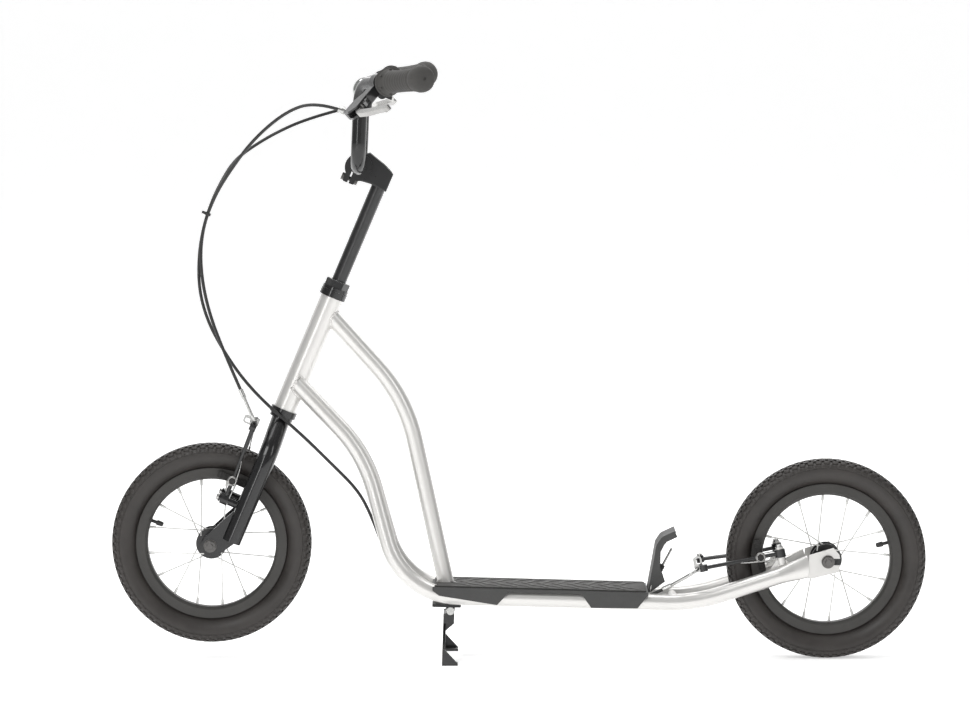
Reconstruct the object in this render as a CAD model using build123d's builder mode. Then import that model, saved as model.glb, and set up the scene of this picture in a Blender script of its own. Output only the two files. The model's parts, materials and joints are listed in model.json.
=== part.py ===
from build123d import *
import math
import os

# Kick scooter with two 12-inch wheels, rim brakes and a centre stand.  Millimetres.
# It stands on its rear wheel and on the stand, which lifts the front wheel.
# +Z is up, forward is -X, the rider's right is +Y.  The origin is on the floor, midway
# between the wheels.

os.makedirs("parts", exist_ok=True)

# ---------------------------------------------------------------- driving dimensions
wheelbase = 939.4
wheel_radius = 152.5
tyre_width = 54.0
front_lift = 25.6            # height of the front tyre above the floor
head_angle = 68.5            # steering axis from the horizontal, in degrees
fork_rake = 23.0             # front axle ahead of the steering axis

tube_radius = 12.5           # frame tubes
tube_wall = 2.0
rail_spread = 50.0           # centre of each main rail from the middle, along the deck
rail_nose_spread = 13.5      # the same at the head tube
rail_height = -68.3          # rail centre below the rear axle
deck_front, deck_rear = -600.0, -272.0
deck_half_width = 65.0
deck_sheet = 3.0
mat_thickness = 2.3
flange_sheet = 2.0

head_bottom, head_top = 232.0, 418.0      # along the steering axis
steerer_radius = 12.7
steerer_bore = steerer_radius - 1.55
head_tube_bore = steerer_radius + 2.3
head_tube_radius = head_tube_bore + 2.0
steerer_foot = 205.0
cup_height = 10.0
race_height = 5.0
locknut_height = 11.0

blade_radius = 14.3
fork_spread = 50.0
blade_offset = 4.0           # blades behind the steering axis
dropout_sheet = 6.0
axle_radius = 5.0
axle_nut_radius = 8.7
axle_nut_height = 8.0

bar_radius = 11.1
bar_wall = 2.0
bar_clamp_height = 616.5     # along the steering axis
bar_clamp_reach = 39.5       # ahead of the steering axis
bar_base_half = 75.0
bar_rise = 126.0
bar_arm = 217.6              # from the upper corner to the end of each arm
bar_sweep = 26.1             # arms swept back, degrees
bar_tilt = 3.75              # arms rising outwards, degrees
quill_radius = steerer_bore - 0.05        # runs in the steerer
quill_bottom = 330.0
grip_length = 124.0
grip_radius = 17.0
grip_flange_radius = 21.3

rim_width = 30.0
rim_inner, rim_outer = 98.0, 115.0
spoke_count = 16
spoke_radius = 1.0
hub_flange_radius = 23.5
hub_flange_offset = 16.0
hub_half_length = 33.0

brake_pivot_half = 42.0
brake_stud_radius = 4.0
brake_arm_length = 119.0
brake_pad_reach = 30.5       # pad bolt above the pivot
pad_gap = 2.5
pad_thickness = 10.0
pad_height = 10.0
pad_length = 50.0

stand_foot_half = 85.0
stand_sheet = 4.0
pin_radius = 4.0
cable_radius = 2.5
tie_width = 4.0

fit = 0.05                   # running fits, on the radius
seat = 0.1                   # clearance of fixed pieces

# ---------------------------------------------------------------- frames of reference
pitch = math.asin(front_lift / wheelbase)
rear_axle_x = wheelbase * math.cos(pitch) / 2
head = math.radians(head_angle)

# side: x rearward, y up, as ridden, from the rear axle
side = Plane(
    origin=(rear_axle_x, 0, wheel_radius),
    x_dir=(math.cos(pitch), 0, -math.sin(pitch)),
    z_dir=(0, -1, 0),
)


def ride(x, y, z):
    """A point x behind, y right of and z above the rear axle, square to the frame."""
    return side.from_local_coords(Vector(x, z, -y))


# steer: x rearward and square to the steering axis, y up along it
steer = Plane(
    origin=ride(fork_rake * math.sin(head) - wheelbase, 0, -fork_rake * math.cos(head)),
    x_dir=side.x_dir * math.sin(head) - side.y_dir * math.cos(head),
    z_dir=(0, -1, 0),
)


def on_fork(n, y, t):
    """A point n behind the steering axis, y right of it and t up along it."""
    return steer.from_local_coords(Vector(n, t, -y))


def across(t):
    """The plane square to the steering axis at height t."""
    return Plane(origin=on_fork(0, 0, t), x_dir=steer.x_dir, z_dir=steer.y_dir)


rear_axle_at = ride(0, 0, 0)
front_axle_at = ride(-wheelbase, 0, 0)
right = Vector(0, 1, 0)


def wheel_section(centre):
    """The half plane through a wheel's axle: x to the right, y out along the radius."""
    return Plane(origin=centre, x_dir=(0, 1, 0), z_dir=(1, 0, 0))


def finish(piece, name):
    """Label a finished piece and write it."""
    piece.part.label = name
    export_step(piece.part, f"parts/{name}.step")


def bent_round(points, radii, outer, inner=0.0):
    """Sweep a round bar or tube along straight runs joined by tangent arcs."""
    with BuildLine() as path:
        route = FilletPolyline(*points, radius=radii)
    with BuildSketch(Plane(origin=route @ 0, z_dir=route % 0)) as section:
        Circle(outer)
        if inner:
            Circle(inner, mode=Mode.SUBTRACT)
    sweep(sections=section.sketch, path=path.line)
    return route.length


def round_bar(start, direction, length, outer, inner=0.0, mode=Mode.ADD):
    """A straight round bar, or a tube where it has a bore."""
    with BuildSketch(Plane(origin=start, z_dir=direction)) as section:
        Circle(outer)
        if inner:
            Circle(inner, mode=Mode.SUBTRACT)
    extrude(to_extrude=section.sketch, amount=length, mode=mode)


def cord_radii(points):
    """The largest arcs that the runs of a cord leave room for."""
    radii = []
    for before, here, after in zip(points, points[1:], points[2:]):
        turn = (here - before).get_angle(after - here)
        shorter = min((here - before).length, (after - here).length)
        radii.append(0.45 * shorter / math.tan(math.radians(turn / 2)))
    return radii


def cord(points):
    """The tube of a free cable along its hand-laid route."""
    radii = cord_radii(points)
    length = bent_round(points, radii, cable_radius)
    print("cable length", round(length, 1), "smallest arc", round(min(radii), 1))


# ---------------------------------------------------------------- frame tubes
with BuildPart() as head_tube:
    with BuildSketch(across(head_bottom)):
        Circle(head_tube_radius)
        Circle(head_tube_bore, mode=Mode.SUBTRACT)
    extrude(amount=head_top - head_bottom)
finish(head_tube, "head_tube")

rail_bottom = rail_height - tube_radius
deck_underside = rail_height + tube_radius
deck_surface = deck_underside + deck_sheet


def cut_head_tube():
    """Cope the end of a frame tube round the head tube."""
    with BuildSketch(across(head_bottom - 60)) as cope:
        Circle(head_tube_radius)
    extrude(to_extrude=cope.sketch, amount=head_top - head_bottom + 120, mode=Mode.SUBTRACT)


top_tube_points = [on_fork(0, 0, 395), ride(-649.1, 0, 228.3), ride(-569.6, 0, -95)]
top_tube_bend = 250.0
with BuildPart() as top_tube:
    bent_round(top_tube_points, [top_tube_bend], tube_radius, tube_radius - tube_wall)
    cut_head_tube()
    split(
        bisect_by=Plane(origin=ride(0, 0, rail_bottom), x_dir=side.x_dir, z_dir=side.y_dir),
        keep=Keep.TOP,
    )
finish(top_tube, "top_tube")

rail_nose_height = 277.0      # where the rails meet the steering axis
rail_end_flat = (10.0, 34.0)  # width and height of each flattened rail end
rail_taper = 48.0             # from the round tube to the flattened end
plate_front = -29.0           # where the rails end and the rear dropout plates start
rail_bends = [215, 112, 250]


def rail_route(hand):
    """The corners of one main rail: head tube, deck, rear rise and its flattened end."""
    nose = hand * rail_nose_spread
    wide = hand * rail_spread
    return [
        on_fork(0, nose, rail_nose_height),
        ride(-709.5, nose * 1.15, 142),
        ride(-645.7, wide, rail_height),
        ride(-201.5, wide, rail_height),
        ride(-72, wide, -23.2),
    ]


def clear_rails(clearance=0.0):
    """Cut the way for both rails, bore and all."""
    for hand in (-1, 1):
        with BuildPart(mode=Mode.PRIVATE) as solid_rail:
            bent_round(rail_route(hand), rail_bends, tube_radius + clearance)
        add(solid_rail.part, mode=Mode.SUBTRACT)


rails = {}
for name, hand in (("left", -1), ("right", 1)):
    rail_points = rail_route(hand)
    tail = (rail_points[-1] - rail_points[-2]).normalized()
    tail_end = rail_points[-1] + tail * rail_taper
    with BuildPart() as main_rail:
        bent_round(rail_points, rail_bends, tube_radius, tube_radius - tube_wall)
        with BuildSketch(Plane(origin=rail_points[-1], x_dir=right, z_dir=tail)) as round_end:
            Circle(tube_radius)
        with BuildSketch(Plane(origin=tail_end, x_dir=right, z_dir=tail)) as flat_end:
            Ellipse(rail_end_flat[0] / 2, rail_end_flat[1] / 2)
        loft([round_end.sketch.face(), flat_end.sketch.face()])
        cut_head_tube()
        split(
            bisect_by=Plane(origin=ride(plate_front, 0, 0), z_dir=side.x_dir),
            keep=Keep.BOTTOM,
        )
    finish(main_rail, f"main_rail_{name}")
    rails[name] = main_rail.part

# ---------------------------------------------------------------- rear dropouts and axle
def dropout_plate(plane, outline, slot_way):
    """One dropout plate on its outer face's plane, open to the slot's free side."""
    with BuildSketch(plane) as plate:
        with BuildLine():
            Polyline(*outline, close=True)
        make_face()
        Circle(axle_radius + seat, mode=Mode.SUBTRACT)
        with Locations(slot_way * 20):
            Rectangle(
                40 * abs(slot_way.X) + 2 * (axle_radius + seat) * abs(slot_way.Y),
                40 * abs(slot_way.Y) + 2 * (axle_radius + seat) * abs(slot_way.X),
                mode=Mode.SUBTRACT,
            )
    extrude(to_extrude=plate.sketch, amount=dropout_sheet / 2, both=True)


rear_outline = [
    (plate_front, 9), (8, 21), (17, 11), (19, 0), (17, -15), (-22, -26), (plate_front, -26),
]
with BuildPart() as rear_dropouts:
    for hand in (-1, 1):
        dropout_plate(side.offset(-hand * rail_spread), rear_outline, Vector(1, 0))
finish(rear_dropouts, "rear_dropouts")

axle_end = fork_spread + dropout_sheet / 2 + axle_nut_height + 4   # the axle stands out of its nuts
cone_radius = 9.0
cone_gap = 0.4               # between each cone and the turning hub


def axle(centre):
    """A wheel axle with the cones that hold the hub and space the dropouts."""
    inner_face = hub_half_length + cone_gap
    outer_face = rail_spread - dropout_sheet / 2
    with BuildSketch(wheel_section(centre)) as half:
        with BuildLine():
            Polyline(
                (-axle_end, 0), (-axle_end, axle_radius), (-outer_face, axle_radius),
                (-outer_face, cone_radius), (-inner_face, cone_radius), (-inner_face, axle_radius),
                (inner_face, axle_radius), (inner_face, cone_radius), (outer_face, cone_radius),
                (outer_face, axle_radius), (axle_end, axle_radius), (axle_end, 0), close=True,
            )
        make_face()
    revolve(profiles=half.sketch, axis=Axis(centre, right))
    chamfer(edges().filter_by(GeomType.CIRCLE).sort_by(Axis.Y)[0], 0.8)
    chamfer(edges().filter_by(GeomType.CIRCLE).sort_by(Axis.Y)[-1], 0.8)


washer_radius = 10.0
washer_sheet = 1.5


def axle_nuts(centre, plane):
    """A washer and a hexagon nut on each end of an axle."""
    for hand in (-1, 1):
        face = hand * (rail_spread + dropout_sheet / 2)
        out = right * hand
        with BuildSketch(Plane(origin=centre + right * face, x_dir=plane.x_dir, z_dir=out)) as washer:
            Circle(washer_radius)
            Circle(axle_radius + seat, mode=Mode.SUBTRACT)
        extrude(to_extrude=washer.sketch, amount=washer_sheet)
        nut_at = centre + right * (face + hand * washer_sheet)
        with BuildSketch(Plane(origin=nut_at, x_dir=plane.x_dir, z_dir=out)) as nut:
            RegularPolygon(axle_nut_radius, 6)
            Circle(axle_radius + seat, mode=Mode.SUBTRACT)
        extrude(to_extrude=nut.sketch, amount=axle_nut_height)


with BuildPart() as rear_axle:
    axle(rear_axle_at)
finish(rear_axle, "rear_axle")
with BuildPart() as rear_axle_nuts:
    axle_nuts(rear_axle_at, side)
finish(rear_axle_nuts, "rear_axle_nuts")

# ---------------------------------------------------------------- deck
front_flange = [(-599.6, 0), (-482, 0), (-501.5, -22), (-589.7, -10), (-599.5, -3)]
rear_flange = [(-375.1, 0), (deck_rear, 0), (-287.9, -21.5), (-358.3, -22.5)]
with BuildPart() as deck_plate:
    with BuildSketch(Plane(origin=ride(0, 0, deck_underside), x_dir=side.x_dir, z_dir=side.y_dir)):
        with Locations(((deck_front + deck_rear) / 2, 0)):
            Rectangle(deck_rear - deck_front, 2 * deck_half_width)
    extrude(amount=deck_sheet)
    for hand in (-1, 1):
        outer = side.offset(-hand * (deck_half_width - flange_sheet / 2))
        with BuildSketch(outer) as flanges:
            for outline in (front_flange, rear_flange):
                with BuildLine():
                    Polyline(*[(x, deck_underside + y) for x, y in outline], close=True)
                make_face()
            with Locations(((deck_front + deck_rear) / 2, deck_underside - 1)):
                Rectangle(deck_rear - deck_front, 2)
        extrude(to_extrude=flanges.sketch, amount=flange_sheet / 2, both=True)
    foot_way = top_tube_points[2] - top_tube_points[1]
    round_bar(top_tube_points[1], foot_way.normalized(), foot_way.length, tube_radius, mode=Mode.SUBTRACT)
    clear_rails()
finish(deck_plate, "deck_plate")

mat_margin = 3.0
with BuildPart() as grip_mat:
    with BuildSketch(Plane(origin=ride(0, 0, deck_surface), x_dir=side.x_dir, z_dir=side.y_dir)):
        with Locations(((deck_front + deck_rear) / 2, 0)):
            RectangleRounded(
                deck_rear - deck_front - 2 * mat_margin, 2 * (deck_half_width - mat_margin), 6,
            )
    extrude(amount=mat_thickness)
    round_bar(
        top_tube_points[1], foot_way.normalized(), foot_way.length, tube_radius + mat_margin,
        mode=Mode.SUBTRACT,
    )
    clear_rails(1.0)
finish(grip_mat, "grip_mat")

# ---------------------------------------------------------------- heel guard
guard_half = 34.0
guard_sheet = 3.0
guard_bend = 10.0
guard_line = [(-270.3, deck_underside), (-259.5, 16), (-252, 28), (-232, 38)]
guard_flange = [(-268, deck_underside), (-246, -38.7), (-254, -18.6), (-254, 6), (-249, 17),
                (-245, 22), (-229, 30), (-232.5, 37), (-253, 26.5), (-259.5, 14)]
with BuildPart() as heel_guard:
    with BuildSketch(side) as guard_edge:
        with BuildLine() as guard_path:
            FilletPolyline(*guard_line, radius=guard_bend)
        trace(guard_path.line, line_width=guard_sheet)
    extrude(to_extrude=guard_edge.sketch, amount=guard_half, both=True)
    for hand in (-1, 1):
        with BuildSketch(side.offset(-hand * (guard_half - flange_sheet / 2))) as cheek:
            with BuildLine():
                Polyline(*guard_flange, close=True)
            make_face()
        extrude(to_extrude=cheek.sketch, amount=flange_sheet / 2, both=True)
finish(heel_guard, "heel_guard")

# ---------------------------------------------------------------- brake frames of reference
# Each brake plane has its origin between the two arm pivots, x out along the studs and
# y from the pivots towards the arm tips.
front_brake = Plane(origin=on_fork(-30.5, 0, 73), x_dir=-steer.x_dir, z_dir=(0, 1, 0))
rear_brake_slope = math.radians(13)
rear_brake = Plane(
    origin=ride(-72.5, 0, 10.3),
    x_dir=side.y_dir * math.cos(rear_brake_slope) - side.x_dir * math.sin(rear_brake_slope),
    z_dir=(0, -1, 0),
)


def at_brake(brake, out, y, along):
    """A point by a brake: out along its studs, y to the right, along towards the tips."""
    return brake.origin + brake.x_dir * out + right * y + brake.y_dir * along


arm_half = 6.0               # half the arm hub's length along its stud
stud_gap = 0.4
boss_radius = 6.5


def brake_stud(brake, hand, root):
    """The boss, stud and end screw that one brake arm turns on."""
    way = brake.x_dir
    shoulder = arm_half + stud_gap
    pivot_y = hand * brake_pivot_half
    round_bar(at_brake(brake, -root, pivot_y, 0), way, root - shoulder, boss_radius)
    round_bar(at_brake(brake, -shoulder, pivot_y, 0), way, 2 * shoulder, brake_stud_radius)
    round_bar(at_brake(brake, shoulder, pivot_y, 0), way, 3, boss_radius - 0.5)


# ---------------------------------------------------------------- brackets on the frame
stand_bracket_front, stand_bracket_rear = -600.0, -556.0
stand_bracket_sheet = 4.2
stand_pivot = (-572.0, -92.5)
ear_offset = 24.0            # inner face of each bracket ear from the middle
ear_sheet = 4.0
ear_radius = 6.0
bridge_radius = 8.0
bridge_at = -232.0
with BuildPart() as frame_brackets:
    # the plate across the underside of the rails, with an ear each side for the stand's pin
    with BuildSketch(Plane(origin=ride(0, 0, rail_bottom), x_dir=side.x_dir, z_dir=side.y_dir)):
        with Locations(((stand_bracket_front + stand_bracket_rear) / 2, 0)):
            RectangleRounded(stand_bracket_rear - stand_bracket_front, 2 * rail_spread, 5)
    extrude(amount=-stand_bracket_sheet)
    ear_top = rail_bottom - stand_bracket_sheet
    for hand in (-1, 1):
        with BuildSketch(side.offset(-hand * (ear_offset + ear_sheet / 2))) as ear:
            with Locations((stand_pivot[0], (ear_top + stand_pivot[1]) / 2)):
                Rectangle(2 * ear_radius, ear_top - stand_pivot[1])
            with Locations(stand_pivot):
                Circle(ear_radius)
                Circle(pin_radius + fit, mode=Mode.SUBTRACT)
        extrude(to_extrude=ear.sketch, amount=ear_sheet / 2, both=True)
    # the bridge between the rails behind the deck
    round_bar(ride(bridge_at, -rail_spread, rail_height), right, 2 * rail_spread, bridge_radius)
    # the rear brake's studs on plates that rise from the rails
    stud_plate = [(-99, -34), (-64, -20), (-60, -3), (-67, 3), (-78, 0)]
    for hand in (-1, 1):
        with BuildSketch(side.offset(-hand * brake_pivot_half)) as stud_web:
            with BuildLine():
                Polyline(*stud_plate, close=True)
            make_face()
        extrude(to_extrude=stud_web.sketch, amount=2.5, both=True)
        brake_stud(rear_brake, hand, 18)
    clear_rails()
    for rail in rails.values():
        add(rail, mode=Mode.SUBTRACT)
finish(frame_brackets, "frame_brackets")

pin_half = ear_offset + ear_sheet + stand_sheet + 1
with BuildPart() as stand_pivot_pin:
    pin_start = ride(stand_pivot[0], -pin_half, stand_pivot[1])
    round_bar(pin_start, right, 2 * pin_half, pin_radius)
    round_bar(pin_start, right * -1, 2.5, pin_radius + 2)
    round_bar(pin_start + right * 2 * pin_half, right, 2.5, pin_radius + 2)
finish(stand_pivot_pin, "stand_pivot_pin")

# ---------------------------------------------------------------- headset
cup_radius = steerer_radius + 7.8
spigot_depth = 9.0
bearing_radius = steerer_radius + 4.3
bearing_height = 6.0
play = 0.4                   # between the turning and the fixed races
axis_up = steer.y_dir
cup_bottom = head_bottom - cup_height
cup_top = head_top + cup_height


def headset_cup(lip, way):
    """One cup: from its open lip towards the head tube, then its spigot inside."""
    round_bar(on_fork(0, 0, lip), axis_up * way, cup_height, cup_radius, steerer_radius + 1)
    round_bar(
        on_fork(0, 0, lip + way * cup_height), axis_up * way, spigot_depth,
        head_tube_bore - fit, steerer_radius + 1,
    )
    round_bar(
        on_fork(0, 0, lip), axis_up * way, bearing_height + seat, bearing_radius + seat,
        mode=Mode.SUBTRACT,
    )


with BuildPart() as headset_cups:
    headset_cup(cup_bottom, 1)
    headset_cup(cup_top, -1)
finish(headset_cups, "headset_cups")

with BuildPart() as headset_bearings:
    for lip, way in ((cup_bottom, 1), (cup_top, -1)):
        round_bar(
            on_fork(0, 0, lip + way * seat), axis_up * way, bearing_height, bearing_radius,
            steerer_radius + fit,
        )
finish(headset_bearings, "headset_bearings")

# ---------------------------------------------------------------- fork
crown_race_top = cup_bottom - play
crown_race_bottom = crown_race_top - race_height
upper_race_bottom = cup_top + play
upper_race_top = upper_race_bottom + race_height
steerer_top = upper_race_top + locknut_height
with BuildPart() as steerer_tube:
    round_bar(
        on_fork(0, 0, steerer_foot), axis_up, steerer_top - steerer_foot, steerer_radius, steerer_bore,
    )
finish(steerer_tube, "steerer_tube")

with BuildPart() as headset_races:
    round_bar(
        on_fork(0, 0, crown_race_bottom), axis_up, race_height, bearing_radius + 1,
        steerer_radius + fit,
    )
    round_bar(
        on_fork(0, 0, upper_race_bottom), axis_up, race_height, cup_radius - 0.5,
        steerer_radius + fit,
    )
finish(headset_races, "headset_races")

locknut_flat = 2 * steerer_radius + 6.6
with BuildPart() as headset_locknut:
    with BuildSketch(across(upper_race_top)):
        RegularPolygon(locknut_flat / 2, 6, major_radius=False)
        Circle(steerer_radius + fit, mode=Mode.SUBTRACT)
    extrude(amount=locknut_height)
    chamfer(headset_locknut.edges().group_by(Axis(across(0).origin, axis_up))[-1], 0.6)
finish(headset_locknut, "headset_locknut")

blade_wall = 2.2
blade_foot, blade_shoulder = 18.0, 163.0
blade_bend = 60.0
fork_outline = [(-13, -8), (-13, 8), (4, 46), (12, 62), (30, 62), (34, 20), (18, -6), (9, -14), (-7, -14)]
with BuildPart() as fork_ends:
    fork_face = Plane(origin=front_axle_at, x_dir=steer.x_dir, z_dir=(0, -1, 0))
    for hand in (-1, 1):
        dropout_plate(fork_face.offset(-hand * fork_spread), fork_outline, Vector(0, -1))
    fork_plates = fork_ends.part
    for hand in (-1, 1):
        with BuildPart(mode=Mode.PRIVATE) as stud:
            brake_stud(front_brake, hand, 26)
            round_bar(
                on_fork(blade_offset, hand * fork_spread, blade_foot), axis_up, 120, blade_radius,
                mode=Mode.SUBTRACT,
            )
        add(stud.part)
finish(fork_ends, "fork_ends")

with BuildPart() as fork_blades:
    for hand in (-1, 1):
        with BuildPart(mode=Mode.PRIVATE) as blade:
            bent_round(
                [
                    on_fork(blade_offset, hand * fork_spread, blade_foot),
                    on_fork(blade_offset, hand * fork_spread, blade_shoulder),
                    on_fork(0, -2 * hand, blade_shoulder + 62),
                ],
                [blade_bend], blade_radius, blade_radius - blade_wall,
            )
            split(bisect_by=Plane(origin=(0, 0, 0), z_dir=right * hand), keep=Keep.TOP)
            round_bar(
                on_fork(0, 0, steerer_foot - 60), axis_up, 200, steerer_radius, mode=Mode.SUBTRACT,
            )
            split(bisect_by=across(crown_race_bottom), keep=Keep.BOTTOM)
            add(fork_plates, mode=Mode.SUBTRACT)
        add(blade.part)
finish(fork_blades, "fork_blades")

with BuildPart() as front_axle:
    axle(front_axle_at)
finish(front_axle, "front_axle")
with BuildPart() as front_axle_nuts:
    axle_nuts(front_axle_at, steer)
finish(front_axle_nuts, "front_axle_nuts")

# ---------------------------------------------------------------- stem
clamp_radius = 21.0
clamp_half = 20.0
quill_slant = 30.0
quill_wall = 3.2
expander_radius = 4.0
stem_half = 15.0
stem_top = 640.0
stem_bottom = 595.0
clamp_at = on_fork(-bar_clamp_reach, 0, bar_clamp_height)
lug_at = (-bar_clamp_reach - 6, bar_clamp_height - clamp_radius + 3)
lug_width = 18.0
bolt_head = 6.0
bolt_seat = 627.0            # the expander bolt's head, sunk in the stem's top
quill_cut = Plane(
    origin=on_fork(0, 0, quill_bottom + quill_radius),
    x_dir=right,
    z_dir=(axis_up * math.cos(math.radians(quill_slant))
           + steer.x_dir * math.sin(math.radians(quill_slant))),
)
with BuildPart() as stem:
    with BuildSketch(steer) as stem_side:
        with BuildLine():
            Polyline(
                (13.4, stem_bottom + 3), (13.4, stem_top - 13.5), (9, stem_top - 10.5), (-6, stem_top - 4),
                (-32, stem_top + 3.5), (-bar_clamp_reach, bar_clamp_height + clamp_radius),
                (-bar_clamp_reach, bar_clamp_height - clamp_radius), (-26, stem_bottom + 3.5),
                (-quill_radius - 2, stem_bottom + 5),
                close=True,
            )
        make_face()
    extrude(to_extrude=stem_side.sketch, amount=stem_half, both=True)
    fillet(stem.edges().filter_by(lambda e: abs(e.tangent_at(0.5).Y) < 0.01), 2)
    round_bar(on_fork(0, 0, quill_bottom), axis_up, stem_top - 20 - quill_bottom, quill_radius)
    split(bisect_by=quill_cut, keep=Keep.TOP)
    round_bar(clamp_at - right * clamp_half, right, 2 * clamp_half, clamp_radius)
    with BuildSketch(steer) as lug:
        with Locations(lug_at):
            RectangleRounded(lug_width, 20, 2)
    extrude(to_extrude=lug.sketch, amount=clamp_half, both=True)
    for hand in (-1, 1):
        bolt_start = on_fork(lug_at[0] - lug_width, hand * clamp_half / 2, lug_at[1] - 4)
        round_bar(bolt_start, steer.x_dir, 2 * lug_width, 3 + seat, mode=Mode.SUBTRACT)
    round_bar(clamp_at - right * clamp_half, right, 2 * clamp_half, bar_radius + fit, mode=Mode.SUBTRACT)
    round_bar(
        on_fork(0, 0, quill_bottom - 10), axis_up, stem_bottom - quill_bottom, quill_radius - quill_wall,
        mode=Mode.SUBTRACT,
    )
    round_bar(
        on_fork(0, 0, quill_bottom), axis_up, stem_top - quill_bottom + 10, expander_radius + seat,
        mode=Mode.SUBTRACT,
    )
    round_bar(on_fork(0, 0, bolt_seat), axis_up, 30, bolt_head + 1, mode=Mode.SUBTRACT)
    for hand in (-1, 1):
        nut_pocket = on_fork(lug_at[0] + lug_width / 2, hand * clamp_half / 2, lug_at[1] - 4)
        round_bar(nut_pocket, steer.x_dir, 7.5, bolt_head + 0.5, mode=Mode.SUBTRACT)
    # the slot that lets the clamp close on the bar
    with BuildSketch(steer) as clamp_slot:
        with Locations(lug_at):
            Rectangle(2.5, 2 * clamp_radius - 12)
    extrude(to_extrude=clamp_slot.sketch, amount=clamp_half + 1, both=True, mode=Mode.SUBTRACT)
finish(stem, "stem")

with BuildPart() as stem_fasteners:
    # the expander bolt, its wedge, and the two clamp bolts
    round_bar(on_fork(0, 0, quill_bottom - 18), axis_up, bolt_seat - quill_bottom + 18, expander_radius)
    round_bar(on_fork(0, 0, bolt_seat), axis_up, 5, bolt_head)
    with BuildPart(mode=Mode.PRIVATE) as wedge:
        round_bar(on_fork(0, 0, quill_bottom - 18), axis_up, 60, quill_radius - fit)
        split(bisect_by=quill_cut.offset(-0.4), keep=Keep.BOTTOM)
    add(wedge.part)
    for hand in (-1, 1):
        bolt_start = on_fork(lug_at[0] - lug_width / 2 - 4, hand * clamp_half / 2, lug_at[1] - 4)
        round_bar(bolt_start, steer.x_dir, lug_width + 8, 3)
        for step in (0, lug_width + 4):
            with BuildSketch(Plane(origin=bolt_start + steer.x_dir * step, z_dir=steer.x_dir)) as hexagon:
                RegularPolygon(5.2, 6)
            extrude(to_extrude=hexagon.sketch, amount=4)
finish(stem_fasteners, "stem_fasteners")

# ---------------------------------------------------------------- handlebar
sweep_angle, tilt_angle = math.radians(bar_sweep), math.radians(bar_tilt)


def arm_way(hand):
    """The direction of one arm of the bar, outwards and swept back."""
    return (
        side.x_dir * math.sin(sweep_angle) * math.cos(tilt_angle)
        + right * hand * math.cos(sweep_angle) * math.cos(tilt_angle)
        + side.y_dir * math.sin(tilt_angle)
    )


def bar_corner(hand):
    """Where one upright of the bar meets its arm."""
    return clamp_at + right * hand * bar_base_half + side.y_dir * bar_rise + side.x_dir * 2


def on_arm(hand, station):
    """A point on one arm's axis, measured inwards from its end."""
    return bar_corner(hand) + arm_way(hand) * (bar_arm - station)


bar_points = [
    on_arm(-1, 1), bar_corner(-1), clamp_at - right * bar_base_half,
    clamp_at + right * bar_base_half, bar_corner(1), on_arm(1, 1),
]
with BuildPart() as handlebar_tube:
    bent_round(bar_points, [30, 38, 38, 30], bar_radius, bar_radius - bar_wall)
finish(handlebar_tube, "handlebar_tube")

grip_end_radius = 19.8
with BuildPart() as grips:
    for hand in (-1, 1):
        grip_face = Plane(
            origin=on_arm(hand, grip_length), x_dir=arm_way(hand), z_dir=side.x_dir.cross(arm_way(hand)),
        )
        end = grip_length + 5
        with BuildSketch(grip_face) as grip_profile:
            with BuildLine():
                Polyline(
                    (0, bar_radius + fit), (0, grip_flange_radius - 1), (1, grip_flange_radius),
                    (3, grip_flange_radius), (5, grip_radius + 1), (8, grip_radius),
                    (end - 22, grip_radius), (end - 14, grip_end_radius), (end - 6, grip_end_radius),
                    (end - 1, grip_end_radius - 6), (end, 4), (end, 0), (grip_length, 0),
                    (grip_length, bar_radius + fit), close=True,
                )
            make_face()
        revolve(profiles=grip_profile.sketch, axis=Axis(grip_face.origin, arm_way(hand)))
finish(grips, "grips")

# ---------------------------------------------------------------- brake levers
lever_station = 148.0        # bracket centre, inwards from the bar's end
lever_drop = 46.0            # lever reach, degrees below forward
lever_thickness = 8.0
cheek_sheet = 3.0
cheek_gap = 0.6
lever_pin_radius = 3.0
lever_pivot = (2.0, 50.0)    # outwards along the bar, and out from the bar's axis
barrel_length = 14.0


def lever_plane(hand):
    """x outwards along the bar, y out from its axis towards the blade."""
    way = arm_way(hand)
    lift = (side.y_dir - way * side.y_dir.dot(way)).normalized()
    ahead = lift.cross(way) * hand
    drop = math.radians(lever_drop)
    reach = ahead * math.cos(drop) - lift * math.sin(drop)
    return Plane(origin=on_arm(hand, lever_station), x_dir=way, z_dir=way.cross(reach))


cheek_inner = lever_thickness / 2 + cheek_gap
cheek_outline = [(-9, 10), (9, 10), (9, 34), (12, 57), (-2, 69), (-18, 69), (-18, 42), (-9, 30)]
with BuildPart() as lever_brackets:
    for hand in (-1, 1):
        lever_face = lever_plane(hand)
        for shift in (-cheek_inner - cheek_sheet / 2, cheek_inner + cheek_sheet / 2):
            with BuildSketch(lever_face.offset(shift)) as lever_cheek:
                with BuildLine():
                    Polyline(*cheek_outline, close=True)
                make_face()
            extrude(to_extrude=lever_cheek.sketch, amount=cheek_sheet / 2, both=True)
        with BuildSketch(lever_face) as lever_core:
            with Locations((0, 22)):
                Rectangle(18, 24)
            with Locations((-14, 55.5)):
                Rectangle(8, 27)
        extrude(to_extrude=lever_core.sketch, amount=cheek_inner, both=True)
        round_bar(lever_face.origin - lever_face.x_dir * 8, lever_face.x_dir, 16, 15.5)
        round_bar(
            lever_face.from_local_coords(Vector(*lever_pivot, -cheek_inner - 2)), lever_face.z_dir,
            2 * cheek_inner + 4, lever_pin_radius,
        )
        round_bar(
            lever_face.origin - lever_face.x_dir * 20, lever_face.x_dir, 40, bar_radius + fit,
            mode=Mode.SUBTRACT,
        )
finish(lever_brackets, "lever_brackets")

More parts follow.
